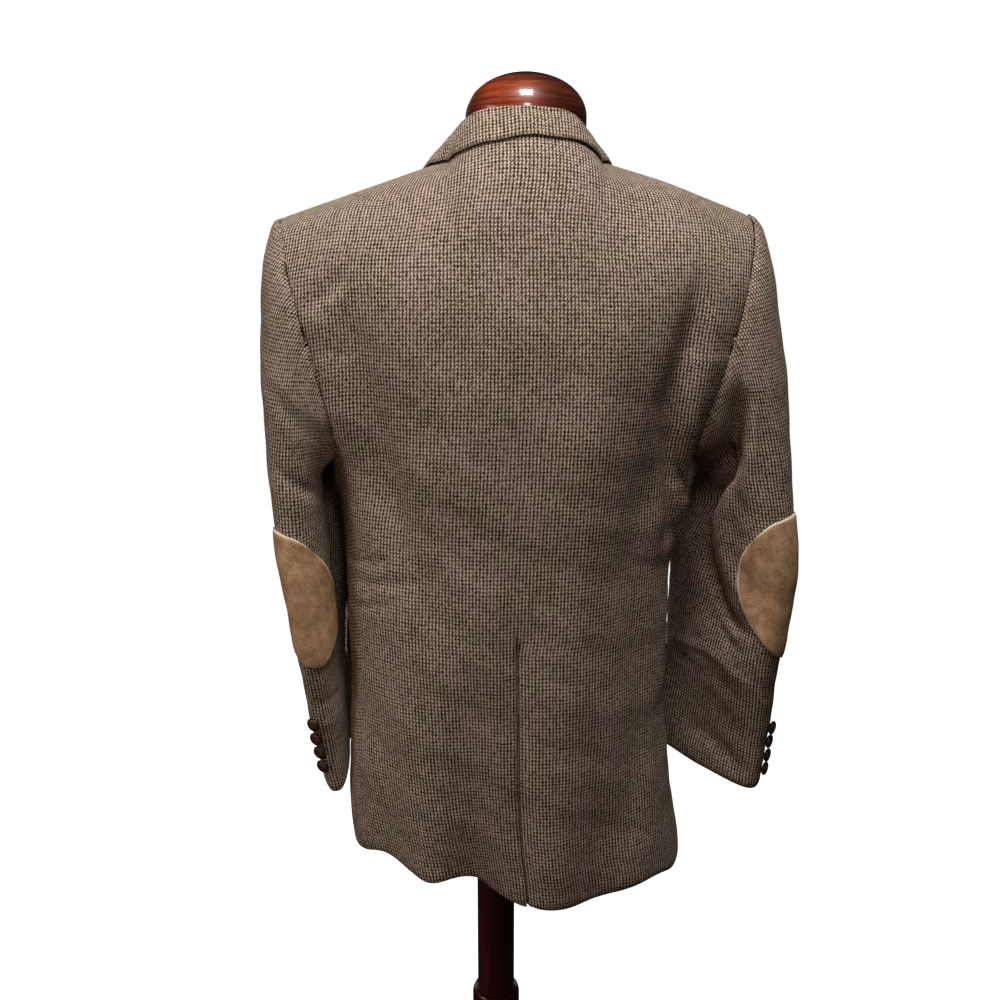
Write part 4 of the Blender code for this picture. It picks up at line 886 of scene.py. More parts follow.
def jersey_finish():
    """Unbleached cotton jersey stretched over the form: fine ribs of knit, matt."""
    material, tree = new_finish("cotton_jersey", Roughness=0.9, Sheen_Weight=0.2)
    place = node(tree, "ShaderNodeTexCoord").outputs["Object"]
    stretch = node(tree, "ShaderNodeMapping", {"Vector": place, "Scale": (1.0, 1.0, 0.35)})
    knit = node(tree, "ShaderNodeTexNoise", {"Vector": stretch, "Scale": 620.0,
                                             "Detail": 2.0})
    soil = node(tree, "ShaderNodeTexNoise", {"Vector": place, "Scale": 9.0,
                                             "Detail": 4.0})
    colour = node(tree, "ShaderNodeValToRGB", {0: toned(tree, soil, (knit, 0.5))}, stops=(
        (0.45, "a99b80"), (0.95, "d8cdb4")))
    return surfaced(material, colour, knit, 0.3, 0.0005)


def mahogany_finish(name, stretch, scale, stops):
    """Stained mahogany under clear lacquer: streaks of grain, dark pores, a wet shine."""
    material, tree = new_finish(
        name, Roughness=0.34, Coat_Weight=1.0, Coat_Roughness=0.07, IOR=1.5, Coat_IOR=1.5)
    place = node(tree, "ShaderNodeTexCoord").outputs["Object"]
    long = node(tree, "ShaderNodeMapping", {"Vector": place, "Scale": stretch})
    streak = node(tree, "ShaderNodeTexNoise", {"Vector": long, "Scale": scale,
                                               "Detail": 5.0, "Distortion": 0.6})
    pores = node(tree, "ShaderNodeTexNoise", {"Vector": long, "Scale": scale * 7.0,
                                              "Detail": 2.0})
    tone = toned(tree, streak, (pores, 0.35))
    colour = node(tree, "ShaderNodeValToRGB", {0: tone}, stops=stops)
    # The cap's painted shade and painted dark reflection, a value on its points, darken it to near
    # black; the stand's pieces have none.
    painted_shade = node(tree, "ShaderNodeAttribute", attribute_name="painted_shade").outputs["Fac"]
    colour = node(tree, "ShaderNodeMixRGB", {0: painted_shade, 1: colour, 2: linear("0c0402")})
    return surfaced(material, colour, pores, 0.12, 0.0004)


# ---------------------------------------------------------------- making pieces
def placed(name, data):
    """A new object in the scene, its place left in its data."""
    item = bpy.data.objects.new(name, data)
    bpy.context.scene.collection.objects.link(item)
    return item


def band_faces(rows, steps):
    """Quads of a tube: rows of points, each a closed ring of as many steps."""
    faces = []
    for k in range(rows - 1):
        for j in range(steps):
            a, b = k * steps + j, k * steps + (j + 1) % steps
            faces.append((a, a + steps, b + steps, b))
    return faces


def made(name, points, faces, finish, slot_name, uv=None, values=None, degrees=45.0):
    """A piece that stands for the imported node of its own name, its place in its mesh."""
    mesh = bpy.data.meshes.new(name)
    mesh.from_pydata(points.tolist(), [], faces.tolist() if hasattr(faces, "tolist") else faces)
    mesh.update()
    for one in finish if isinstance(finish, (list, tuple)) else (finish,):
        mesh.materials.append(one)
    if uv is not None:
        corners = np.empty(len(mesh.loops), dtype=np.int32)
        mesh.loops.foreach_get("vertex_index", corners)
        mesh.uv_layers.new(name="grain").data.foreach_set("uv", uv[corners].ravel())
    for key, read in (values or {}).items():
        mesh.attributes.new(key, "FLOAT", "POINT").data.foreach_set("value", read)
    mesh.shade_smooth()
    mesh.set_sharp_from_angle(angle=math.radians(degrees))
    piece = placed(name, mesh)
    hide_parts(name)
    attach(piece, BODY)
    return piece


def cloth(name, points, outward, finish, grain_from=(0, 0), wall=WALL, skip=None,
          values=None, slot_name="tweed"):
    """A panel cut from cloth: a grid of points with its wall inwards."""
    rows, columns = points.shape[:2]
    numbers = np.arange(rows * columns).reshape(rows, columns)
    faces = np.stack([numbers[:-1, :-1], numbers[:-1, 1:], numbers[1:, 1:], numbers[1:, :-1]],
                     axis=-1)
    up, over = cross_lengths(points, 0), cross_lengths(points, 1)
    row, column = grain_from
    normal = np.cross(points[:-1, 1:] - points[:-1, :-1], points[1:, :-1] - points[:-1, :-1])
    mirrored = normal[(rows - 1) // 2, (columns - 1) // 2] @ np.array(outward, float) < 0.0
    if mirrored:
        faces = faces[..., ::-1]
    # The twill runs the same way on both sides of the jacket, so half the pieces are mirrored.
    across = (over - over[:, column:column + 1]) * (1.0 if mirrored else -1.0)
    uv = np.stack([across, up - up[row:row + 1]], axis=-1).reshape(-1, 2)
    areas = np.linalg.norm(normal, axis=-1)
    keep = np.ones(areas.shape, bool) if skip is None else ~skip(rows, columns)
    flat = points.reshape(-1, 3)
    used, faces = np.unique(faces[keep].reshape(-1, 4), return_inverse=True)
    faces = faces.reshape(-1, 4)
    values = {key: read.ravel()[used] for key, read in (values or {}).items()}
    piece = made(name, flat[used], faces, finish, slot_name, uv=uv[used], values=values)
    solid = piece.modifiers.new("wall", "SOLIDIFY")
    solid.thickness = wall
    solid.offset = -1.0
    solid.material_offset = 1 if len(piece.data.materials) > 1 else 0
    return piece


def turned(name, profile, place, steps, finish, slot_name="mahogany", closed=False):
    """A turned piece: its profile from the top down, swept round a lathe's axis."""
    profile = np.array(profile)
    angle = np.linspace(0.0, 2.0 * math.pi, steps, endpoint=False)
    count = len(profile)
    points, faces = [], []
    index = np.zeros((count, steps), int)
    for k, (radius, height) in enumerate(profile):
        if radius < 1e-6:
            index[k] = len(points)
            points.append((0.0, 0.0, height))
        else:
            index[k] = len(points) + np.arange(steps)
            points += list(zip(radius * np.cos(angle), radius * np.sin(angle), [height] * steps))
    for k in range(count if closed else count - 1):
        low = (k + 1) % count
        for j in range(steps):
            around = (j + 1) % steps
            corners = (index[k, j], index[low, j], index[low, around], index[k, around])
            corners = [int(c) for n, c in enumerate(corners) if c not in corners[:n]]
            faces.append(corners)
    points = np.array(points) + np.array(place)
    return made(name, points, faces, finish, slot_name, degrees=35.0)


def arc(centre, radii, start, end, count):
    angles = np.radians(np.linspace(start, end, count))
    return [(centre[0] + radii[0] * math.cos(a), centre[1] + radii[1] * math.sin(a))
            for a in angles]


# ---------------------------------------------------------------- stitches
def stitch_tree():
    """Geometry nodes: a thread stitch laid at even steps along a path."""
    tree = bpy.data.node_groups.new("stitches_on_path", "GeometryNodeTree")
    face = tree.interface
    face.new_socket("Path", in_out="INPUT", socket_type="NodeSocketGeometry")
    for name in ("Step", "Length", "Thickness"):
        face.new_socket(name, in_out="INPUT", socket_type="NodeSocketFloat")
    face.new_socket("Thread", in_out="INPUT", socket_type="NodeSocketMaterial")
    face.new_socket("Stitches", in_out="OUTPUT", socket_type="NodeSocketGeometry")
    given = node(tree, "NodeGroupInput").outputs
    path = node(tree, "GeometryNodeMeshToCurve", {0: given["Path"]})
    marks = node(tree, "GeometryNodeResampleCurve", {"Curve": path, "Length": given["Step"]},
                 mode="LENGTH")
    tangent = node(tree, "GeometryNodeInputTangent")
    turn = node(tree, "FunctionNodeAlignRotationToVector", {"Vector": tangent}, axis="Z")
    thread = node(tree, "GeometryNodeMeshUVSphere", {"Segments": 6, "Rings": 5, "Radius": 0.5})
    size = node(tree, "ShaderNodeCombineXYZ", {0: given["Thickness"], 1: given["Thickness"],
                                               2: given["Length"]})
    laid = node(tree, "GeometryNodeInstanceOnPoints", {
        "Points": marks, "Instance": thread, "Rotation": turn, "Scale": size})
    real = node(tree, "GeometryNodeRealizeInstances", {0: laid})
    ready = node(tree, "GeometryNodeSetMaterial", {"Geometry": real, "Material": given["Thread"]})
    node(tree, "NodeGroupOutput", {0: ready})
    return tree


def stitched(name, path, step, length, thickness, thread, slot_name, closed=True):
    """Stitches along a path of points, as a plain mesh that rides the form."""
    edges = [(k, k + 1) for k in range(len(path) - 1)] + ([(len(path) - 1, 0)] if closed else [])
    mesh = bpy.data.meshes.new(name + "_path")
    mesh.from_pydata(path.tolist(), edges, [])
    guide = placed(name + "_path", mesh)
    work = guide.modifiers.new("stitches", "NODES")
    work.node_group = STITCHES
    sockets = {item.name: item.identifier for item in STITCHES.interface.items_tree}
    for key, value in (("Step", step), ("Length", length), ("Thickness", thickness),
                       ("Thread", thread)):
        work[sockets[key]] = value
    bpy.context.view_layer.update()
    ready = guide.evaluated_get(bpy.context.evaluated_depsgraph_get())
    plain = bpy.data.meshes.new_from_object(ready)
    plain.name = name
    bpy.data.objects.remove(guide, do_unlink=True)
    plain.shade_smooth()
    piece = placed(name, plain)
    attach(piece, BODY)
    return piece


# ---------------------------------------------------------------- jacket pieces
# Rough sizes of the pieces along the cloth, which set how many rows and columns they get.
HANGING_LENGTH, SHOULDER_LENGTH, SHOULDER_CLOSER = 0.46, 0.30, 1.7
BACK_WIDTH, SIDE_WIDTH, FRONT_WIDTH = 0.21, 0.12, 0.20
LAPEL_WIDTH, LAPEL_LENGTH, LAPEL_CLOSER = 0.10, 0.30, 1.5
COLLAR_LENGTH, COLLAR_FALL, FLAP_WIDTH = 0.42, 0.03, 0.15
SLEEVE_HEAD_LENGTH, SLEEVE_LENGTH, SLEEVE_MEASURED_AT = 0.20, 0.34, 1.06


def rows_up():
    """Rows of a panel from the hem (0) by the underarm (1) to the shoulder (2), and the
    underarm's row. The rows next to the underarm aren't crowded as at an edge."""
    below = rows_of(0.0, 1.0, HANGING_LENGTH)
    above = rows_of(1.0, 2.0, SHOULDER_LENGTH, SHOULDER_CLOSER)
    return np.concatenate([below[:-3], below[-1:], above[3:]]), len(below) - 3


def by_armhole(points, sewn, armhole):
    """A value for each row of a side edge: below the arm, and along the armhole."""
    return mix(sewn, armhole, ramp(UNDERARM - 0.012, UNDERARM + 0.004, points[:, -1, 2]))


def under_shoulder(points):
    """0 at the shoulder and neck seams, where the cloth lies still, to 1 a little below them."""
    return ramp(0.0, 0.02, top_height(from_middle(points)) - points[..., 2])


def side_roll(points):
    return by_armhole(points, PRESSED_ROLL[0], ARMHOLE_ROLL[0])[:, None], ARMHOLE_ROLL[1]


def lap_height(lap, z):
    """Heights of the strip that lies hidden under the left panel, drawn up short of its hem."""
    share = lap / ring("back_edge", z[0]) * math.sin(math.radians(BACK_ANGLE))
    low = hem_height(math.degrees(math.asin(share))) + VENT_SHORT
    drawn = VENT_TOP - (VENT_TOP - z) * (VENT_TOP - low) / (VENT_TOP - z[0])
    return np.where(z < VENT_TOP, drawn, z)


def with_vent_lap(points):
    """The right back panel with the strip that runs on under the left one, lying in a little."""
    under = []
    for lap in VENT_LAP * np.linspace(1.0, 0.1, VENT_LAP_COLUMNS):
        strip = points[:, 0, :].copy()
        strip[:, 0] += lap
        strip[:, 2] = lap_height(lap, strip[:, 2])
        strip[:, 1] = back_y(from_middle(strip), strip[:, 2])
        strip[:, 1] += crease_out(strip[:, 0], strip[:, 2], BODY_CREASES) + ripple_out(strip)
        strip[:, 1] -= VENT_LAP_IN
        under.append(strip)
    wide = np.concatenate([np.stack(under, axis=1), points], axis=1)
    x = from_middle(wide)
    near = ramp(*VENT_SLOPE, x) + VENT_STEP_SHARE * ramp(*VENT_STEP, x)
    wide[..., 1] -= VENT_DEEP * ramp(*VENT_FADE, wide[..., 2]) * near
    return wide


def make_backs(tweed, lining):
    """Two back panels; the right one runs on under the left below the vent's top."""
    up, level = rows_up()
    across = rows_of(0.0, 1.0, BACK_WIDTH)
    for side, label in SIDES:
        points = back_grid(side, across[None, :], up[:, None])
        points = stand_back(points, {
            "first": SEWN_GAP, "high": SEWN_GAP, "last": by_armhole(points, SEWN_GAP, ARMHOLE_GAP)})
        vent = mix(2.0 * PRESSED_ROLL[0], 0.5 * PRESSED_ROLL[0], ramp(
            VENT_TOP - 0.004, VENT_TOP + 0.004, points[:, :1, 2]))
        points = dressed(points, (0, 1, 0), body_creases, {
            "last": side_roll(points), "first": (vent, PRESSED_ROLL[1]), "high": PRESSED_ROLL,
            "low": HEM_ROLL}, under_shoulder(points))
        skip, edge_column = None, 0
        if side == RIGHT:
            top_row = int(np.sum(points[:, 0, 2] < VENT_TOP)) - 1
            points, edge_column = with_vent_lap(points), VENT_LAP_COLUMNS

            def skip(rows, columns):
                i, j = np.indices((rows - 1, columns - 1))
                return (j < VENT_LAP_COLUMNS) & (i >= top_row)
        cloth(f"back_{label}", points, (0, 1, 0), (tweed, lining),
              (level, edge_column), skip=skip)


def jet_out(points):
    """The narrow jetting above each pocket flap stands a little out of the panel."""
    wide = np.abs(from_middle(points)) / ring("half_width", points[..., 2])
    angle = np.degrees(np.arctan2(wide, (points[..., 1] - WIDEST_Y) / JET_DEPTH))
    share = (angle - FLAP_ANGLES[0]) / (FLAP_ANGLES[1] - FLAP_ANGLES[0])
    above = points[..., 2] - mix(*FLAP_TOP, share)
    inside = ramp(-0.02, 0.0, share) * ramp(1.02, 1.0, share)
    foot, low, high, head = JET_HEIGHT
    return JET_OUT * inside * ramp(foot, low, above) * ramp(head, high, above)


def make_sides(tweed, lining):
    up, level = rows_up()
    up = up[:level + 1]
    for side, label in SIDES:
        points = side_grid(side, rows_of(0.0, 1.0, SIDE_WIDTH)[None, :], up[:, None])
        points = stand_back(points, {"first": SEWN_GAP, "last": SEWN_GAP, "high": ARMHOLE_GAP})
        points = points + facing(points, (side, 0, 0)) * jet_out(points)[..., None]
        points = dressed(points, (side, 0, 0), body_creases, {
            "first": PRESSED_ROLL, "last": PRESSED_ROLL, "high": ARMHOLE_ROLL, "low": HEM_ROLL})
        cloth(f"side_{label}", points, (side, 0, 0), (tweed, lining),
              (level, 0))


def make_fronts(tweed, lining):
    up, level = rows_up()
    for side, label in SIDES:
        points = front_grid(side, rows_of(0.0, 1.0, FRONT_WIDTH)[None, :], up[:, None])
        points = stand_back(points, {"last": by_armhole(points, SEWN_GAP, ARMHOLE_GAP),
                                     "high": SEWN_GAP})
        points = points + facing(points, (0, -1, 0)) * jet_out(points)[..., None]
        points = dressed(points, (0, -1, 0), None, {
            "last": side_roll(points), "high": PRESSED_ROLL, "low": HEM_ROLL,
            "first": FRONT_EDGE_ROLL}, under_shoulder(points))
        cloth(f"front_{label}", points, (0, -1, 0), (tweed, lining),
              (level, 0))


def make_lapels(tweed):
    """Facings turned out along the roll line, with a notch below the collar."""
    over = rows_of(0.0, 1.0, LAPEL_WIDTH)[None, :]
    up = 1.0 - (1.0 - rows_of(0.0, 1.0, LAPEL_LENGTH)[:, None]) ** LAPEL_CLOSER
    for side, label in SIDES:
        lowest = LAPEL_FROM if side == LEFT else LAPEL_FROM_RIGHT
        z = mix(lowest, mix(*GORGE, over), up)
        roll_x = -smooth(FRONT_EDGE, FRONT_EDGE_COLUMNS, "reach", z)
        width = smooth(LAPEL, LAPEL_COLUMNS, "width", z)
        start = roll_x + LAPEL_IN
        if side == RIGHT:
            start = np.maximum(start, LAPEL_PART - roll_x)
        x = mix(start, roll_x + LAPEL_IN + width, over)
        bulge = LAPEL_ROLL * 4.0 * over * (1.0 - over) ** 2 * ramp(0.0, 0.3, up)
        points = front_surface(side, x, z, WALL + LAID_ON + bulge)
        points = dressed(points, (0, -1, 0), None, dict.fromkeys(
            ("last", "high"), LAPEL_EDGE_ROLL))
        cloth(f"lapel_{label}", points, (0, -1, 0), tweed,
              (len(up) // 2, 0))


def make_collar(tweed):
    ends = COLLAR[-1][0]
    along = rows_of(-ends, ends, COLLAR_LENGTH)[None, :]
    profile = np.concatenate([np.linspace(0.0, FOLD_FROM, 8)[:-1],
                              np.linspace(FOLD_FROM, FOLD_TO, 13)[:-1],
                              rows_of(FOLD_TO, 2.0, COLLAR_FALL)])[:, None]
    along, profile = np.broadcast_arrays(along, profile)
    points = collar_grid(along, profile)
    outer = np.clip((profile - 1.0) * 4.0, 0.0, 1.0)
    normal = facing(points, (0, 0, 1))
    points = points + normal * (ripple_out(points) * outer)[..., None]
    edge = cross_lengths(points, 0)
    depth, reach = COLLAR_EDGE_ROLL
    roll = depth * np.exp(-((edge[-1:] - edge) / reach) ** 2)
    points = points - normal * roll[..., None]
    cloth("collar", points, (0, 0, 1), tweed,
          (points.shape[0] - 1, points.shape[1] // 2))


def make_flaps(tweed, lining):
    across = rows_of(0.0, 1.0, FLAP_WIDTH)[None, :]
    down = rows_of(0.0, 1.0, FLAP_DEPTH)[:, None]
    round_ends = 1.0 - FLAP_ROUND * np.abs(2.0 * across - 1.0) ** FLAP_ROUND_POWER
    for side, label in SIDES:
        angle = np.radians(mix(*FLAP_ANGLES, across))
        z = mix(*FLAP_TOP, across) - FLAP_DEPTH * down * round_ends
        points = on_side(side, ring_point(angle, z, WALL + LAID_ON + FLAP_FLARE * down))
        outward = (0.6 * side, -0.8, 0)
        points = dressed(points, outward, None, dict.fromkeys(
            ("last", "first", "high"), FLAP_EDGE_ROLL))
        cloth(f"pocket_flap_{label}", points, outward, (tweed, lining))


def even_angles(side, start, end):
    """Angles round the hanging sleeve at even steps of cloth."""
    fine = np.linspace(start, end, 721)
    tube = tube_point(side, fine, np.full(fine.shape, SLEEVE_MEASURED_AT))
    reached = cross_lengths(tube[None], 1)[0]
    return np.interp(rows_of(0.0, reached[-1], reached[-1]), reached, fine)


def make_sleeves(tweed, lining):
    """Two-piece sleeves, hanging empty, eased into the armhole with fine puckers."""
    head = rows_of(0.0, 1.0, SLEEVE_HEAD_LENGTH)
    hang = rows_of(1.0, 2.0, SLEEVE_LENGTH)
    along = np.concatenate([head[:-3], hang[2:]])
    wave, fullness, step = PUCKER
    for side, label in SIDES:
        for part, start, end in (("top", SLEEVE_FRONT_SEAM, SLEEVE_ELBOW_SEAM),
                                 ("under", SLEEVE_ELBOW_SEAM, SLEEVE_FRONT_SEAM + 360.0)):
            angles = even_angles(side, start, end)
            points = sleeve_point(side, angles[None, :], along[:, None])
            points = stand_back(points, {"first": SEWN_GAP, "last": SEWN_GAP,
                                         "low": ARMHOLE_GAP})
            middle = math.radians(0.5 * (start + end))
            outward = (side * math.cos(middle), 0.3 * math.sin(middle), 0.0)
            creases = crease_out(np.broadcast_to(angles, points.shape[:2]), points[..., 2],
                                 SLEEVE_CREASES[side], SLEEVE_DEGREE)
            points = dressed(points, outward, lambda *_: creases, {
                "first": PRESSED_ROLL, "last": PRESSED_ROLL, "high": HEM_ROLL})
            down, over = cross_lengths(points, 0), cross_lengths(points, 1)
            pucker = wave * np.sin(over * 2.0 * math.pi / step) + fullness
            pucker = pucker * (np.exp(-(down / PUCKER_REACH[0]) ** 2)
                               - np.exp(-(down / PUCKER_REACH[1]) ** 2))
            points = points + facing(points, outward) * pucker[..., None]
            grain_column = points.shape[1] - 1 if part == "top" else 0
            cloth(f"sleeve_{part}_{label}", points, outward, (tweed, lining),
                  (points.shape[0] - 1, grain_column))


def make_patches(suede, thread):
    """Suede ovals over the elbow edge, sewn on close to their cut edge."""
    columns, rows = PATCH_GRID
    a, b = np.linspace(-1.0, 1.0, columns)[None, :], np.linspace(-1.0, 1.0, rows)[:, None]
    inset, count = PATCH_STITCH_LINE
    run, end = np.linspace(-inset, inset, count), np.full(count, inset)
    line_a, line_b = np.concatenate([run, end, -run, -end]), np.concatenate([-end, run, end, -run])
    for side, label in SIDES:
        middle, half, centre, lean, reach, more = PATCHES[side]

        def place(a, b):
            u = a * np.sqrt(1.0 - 0.5 * np.abs(b) ** PATCH_POWER)
            v = b * np.sqrt(1.0 - 0.5 * np.abs(a) ** PATCH_POWER)
            angle = centre - lean * v + reach * u + more * u ** 2
            step = height_to_along(side, middle - half * v)
            base = sleeve_point(side, angle, step)
            out = sleeve_normal(side, angle, step)
            lift = crease_out(angle, base[..., 2], SLEEVE_CREASES[side], SLEEVE_DEGREE)
            lift = lift + ripple_out(base)
            return base, out, lift
        base, out, lift = place(a, b)
        up, over = cross_lengths(base, 0), cross_lengths(base, 1)
        rim = np.minimum(np.minimum(up, up[-1:] - up), np.minimum(over, over[:, -1:] - over))
        down = PATCH_EDGE[0] * np.exp(-(rim / PATCH_EDGE[1]) ** 2)
        points = base + out * (PATCH_WALL + LAID_ON + lift - down)[..., None]
        cloth(f"elbow_patch_{label}", points, (0, 1, 0), suede,
              (rows // 2, columns // 2),
              wall=PATCH_WALL, values={"from_edge": rim}, slot_name="suede")
        base, out, lift = place(line_a, line_b)
        path = base + out * (PATCH_WALL + LAID_ON + lift - STITCH_SUNK)[..., None]
        stitched(f"patch_stitches_{label}", path, *PATCH_STITCH, thread, "suede")


def button_mesh(size):
    """A football button: leather strips woven over and under across a dome, on a flat back."""
    radius, half = size
    rings, steps, back_rings = BUTTON_RINGS
    share = np.sin(np.linspace(0.0, math.pi / 2.0, rings))[:, None]
    around = np.linspace(0.0, 2.0 * math.pi, steps, endpoint=False)[None, :]
    x, y = share * np.cos(around), share * np.sin(around)
    u, v = (x + y) * WEAVE_STRIPS / WEAVE_SPAN, (x - y) * WEAVE_STRIPS / WEAVE_SPAN
    over = (np.floor(u) + np.floor(v)) % 2 == 0
    crown = np.where(over, np.abs(np.sin(math.pi * u)), np.abs(np.sin(math.pi * v)))
    crown = np.sqrt(np.clip(crown, 0.0, 1.0)) * ramp(1.0, 0.86, share)
    dome = half * np.sqrt(np.clip(1.0 - share ** BUTTON_POWER, 0.0, 1.0))
    front = points_of(x * radius, y * radius, dome + STRIP_RISE * (crown - 0.6))
    lip = np.linspace(0.0, 1.0, back_rings + 1)[1:, None]
    back_radius = radius * (1.0 - BUTTON_TURN_IN * lip)
    back = points_of(np.cos(around) * back_radius, np.sin(around) * back_radius,
                     -half * 0.96 * np.sqrt(lip))
    points = np.concatenate([front[1:], back]).reshape(-1, 3)
    raised = np.concatenate([crown[1:], np.zeros((back_rings, steps))]).ravel()
    rows = rings - 1 + back_rings
    faces = band_faces(rows, steps)
    points = np.concatenate([points, [[0.0, 0.0, float(front[0, 0, 2])]]])
    raised = np.append(raised, 1.0)
    top = len(points) - 1
    faces += [(top, j, (j + 1) % steps) for j in range(steps)]
    faces.append(tuple(reversed(range((rows - 1) * steps, rows * steps))))
    return points, faces, raised


def make_button(name, centre, out, size, leather):
    points, faces, raised = button_mesh(size)
    turn = np.array(Vector(out).to_track_quat("Z", "Y").to_matrix())
    made(name, points @ turn.T + np.array(centre), faces, leather, "button_leather",
         values={"raised": raised}, degrees=60.0)


def make_buttons(leather, thread):
    for side, label in SIDES:
        for k in range(CUFF_BUTTONS):
            height = SLEEVES[side][0][0] + CUFF_BUTTON_FIRST[side] + k * CUFF_BUTTON_STEP
            along = np.array(height_to_along(side, height))
            angle = np.array(CUFF_BUTTON_ANGLE[side])
            out = sleeve_normal(side, angle, along)
            base = sleeve_point(side, angle, along)
            lift = CUFF_BUTTON[1] + BUTTON_GAP + float(ripple_out(base)) + CUFF_BUTTON_OUT
            make_button(f"cuff_button_{label}_{k + 1}", base + out * lift, out, CUFF_BUTTON,
                        leather)
    for k, height in enumerate(FRONT_BUTTON_HEIGHTS):
        centre = front_surface(LEFT, np.array(FRONT_BUTTON_X), np.array(height),
                               FRONT_BUTTON[1] + REST_GAP + FRONT_BUTTON_OUT)
        make_button(f"front_button_{k + 1}", centre, (0.0, -1.0, 0.0), FRONT_BUTTON, leather)
    turn = np.linspace(0.0, 2.0 * math.pi, BUTTONHOLE_POINTS, endpoint=False)
    half_long, half_wide = BUTTONHOLE_HALF
    along = half_long * np.sign(np.cos(turn)) * np.abs(np.cos(turn)) ** BUTTONHOLE_POWER
    for k, (x, height, out, slope) in enumerate(BUTTONHOLES):
        path = front_surface(LEFT, x + along, height + half_wide * np.sin(turn) + slope * along,
                             out)
        stitched(f"buttonhole_{k + 1}", path, *BUTTONHOLE_STITCH, thread, "tweed")


# ---------------------------------------------------------------- dress form
def form_ring(height, count):
    """A closed ring of the torso: the cloth's own section, moved in, turning into the neck."""
    angle = np.linspace(0.0, 2.0 * math.pi, count, endpoint=False)
    cloth_z = height + FORM_SHOULDER_DROP
    slope_x = NECK_X + (NECK_Z - cloth_z) * (TIP_X - NECK_X) / (NECK_Z - TIP_Z)
    clear = float(mix(*FORM_CLEAR, ramp(*FORM_CLEAR_HEIGHTS, height)))
    wide = min(float(ring("half_width", cloth_z)) - 0.5 * clear, FORM_ARM_X, slope_x)
    wide = max(wide, FORM_NARROWEST)
    x = wide * np.sin(angle)
    z = np.full(count, cloth_z)
    behind = back_y(x, z) - fold_out(x / ring("back_edge", z), z) * rounding(x, z, BACK_ROLL)
    before = front_y(x, z)
    half = np.maximum(0.5 * (behind - before) - clear, FORM_THINNEST)
    square = np.sign(np.cos(angle)) * np.minimum(np.abs(np.cos(angle)) * FORM_SQUARE, 1.0)
    y = 0.5 * (behind + before) + half * square
    blend = float(ramp(NECK_FROM, NECK_TO, height))
    neck_x, neck_y, radius = FORM_NECK
    x = mix(x, neck_x + radius * np.sin(angle), blend)
    y = mix(y, neck_y + radius * np.cos(angle), blend)
    return points_of(x + ring("shift", cloth_z) * (1.0 - blend), y, height)


def make_torso(jersey):
    """The padded torso under its jersey: seams down the sides, the front and the back."""
    low, count = FORM_BOTTOM + FORM_TURN_UNDER, FORM_STEPS
    under, body, top = FORM_RINGS
    heights = np.concatenate([mix(FORM_BOTTOM, low, np.linspace(0.0, 1.0, under)[:-1] ** 1.5),
                              np.linspace(low, FORM_SHOULDER, body),
                              np.linspace(FORM_SHOULDER + 0.005, NECK_TO, top)])
    rings = np.stack([form_ring(float(height), count) for height in heights])
    centre = rings.mean(axis=1, keepdims=True)
    turn_in = 1.0 - FORM_TURN_IN * np.clip((low - heights) / FORM_TURN_UNDER, 0.0, 1.0) ** 2
    angle = np.linspace(0.0, 360.0, count, endpoint=False)
    seam = sum(np.exp(-(((angle - at + 180.0) % 360.0 - 180.0) / FORM_SEAM_REACH) ** 2)
               for at in FORM_SEAMS)
    groove = 1.0 - FORM_SEAM_DEPTH * seam[None, :] * ramp(NECK_TO, NECK_FROM, heights)[:, None]
    level = np.array([1.0, 1.0, 0.0])
    scale = (groove * turn_in[:, None])[..., None] * level + (1.0 - level)
    points = (centre + (rings - centre) * scale).reshape(-1, 3)
    faces = band_faces(len(heights), count)
    faces.append(tuple(range(count)))
    faces.append(tuple(reversed(range(len(points) - count, len(points)))))
    piece = made("torso_form", points, faces, jersey, "form_jersey", degrees=50.0)


def make_cap(wood):
    side = CAP_SIDE_TOP - CAP_FOOT
    profile = arc((0.0, side), (CAP_RADIUS, CAP_DOME), 90.0, 0.0, 40)
    profile += [(CAP_RADIUS - inward, up) for inward, up in CAP_FOOT_EDGE] + [(0.0, 0.0)]
    cap = turned("neck_cap", profile, (CAP_X, CAP_Y, CAP_FOOT), 128, wood)
    place = np.empty(3 * len(cap.data.vertices))
    cap.data.vertices.foreach_get("co", place)
    x, _, z = place.reshape(-1, 3).T
    # A painted dark reflection darkens the top's rim, and painted shade darkens both sides.
    below = CAP_SIDE_TOP + CAP_DOME - z
    unshaded = 1.0
    for at, (most, start, full) in (
            (below, CAP_SHADE_TOP), (x, CAP_SHADE_RIGHT), (x, CAP_SHADE_LEFT)):
        unshaded = unshaded * (1.0 - most * ramp(start, full, at))
    painted_shade = 1.0 - unshaded
    cap.data.attributes.new("painted_shade", "FLOAT", "POINT").data.foreach_set("value", painted_shade)


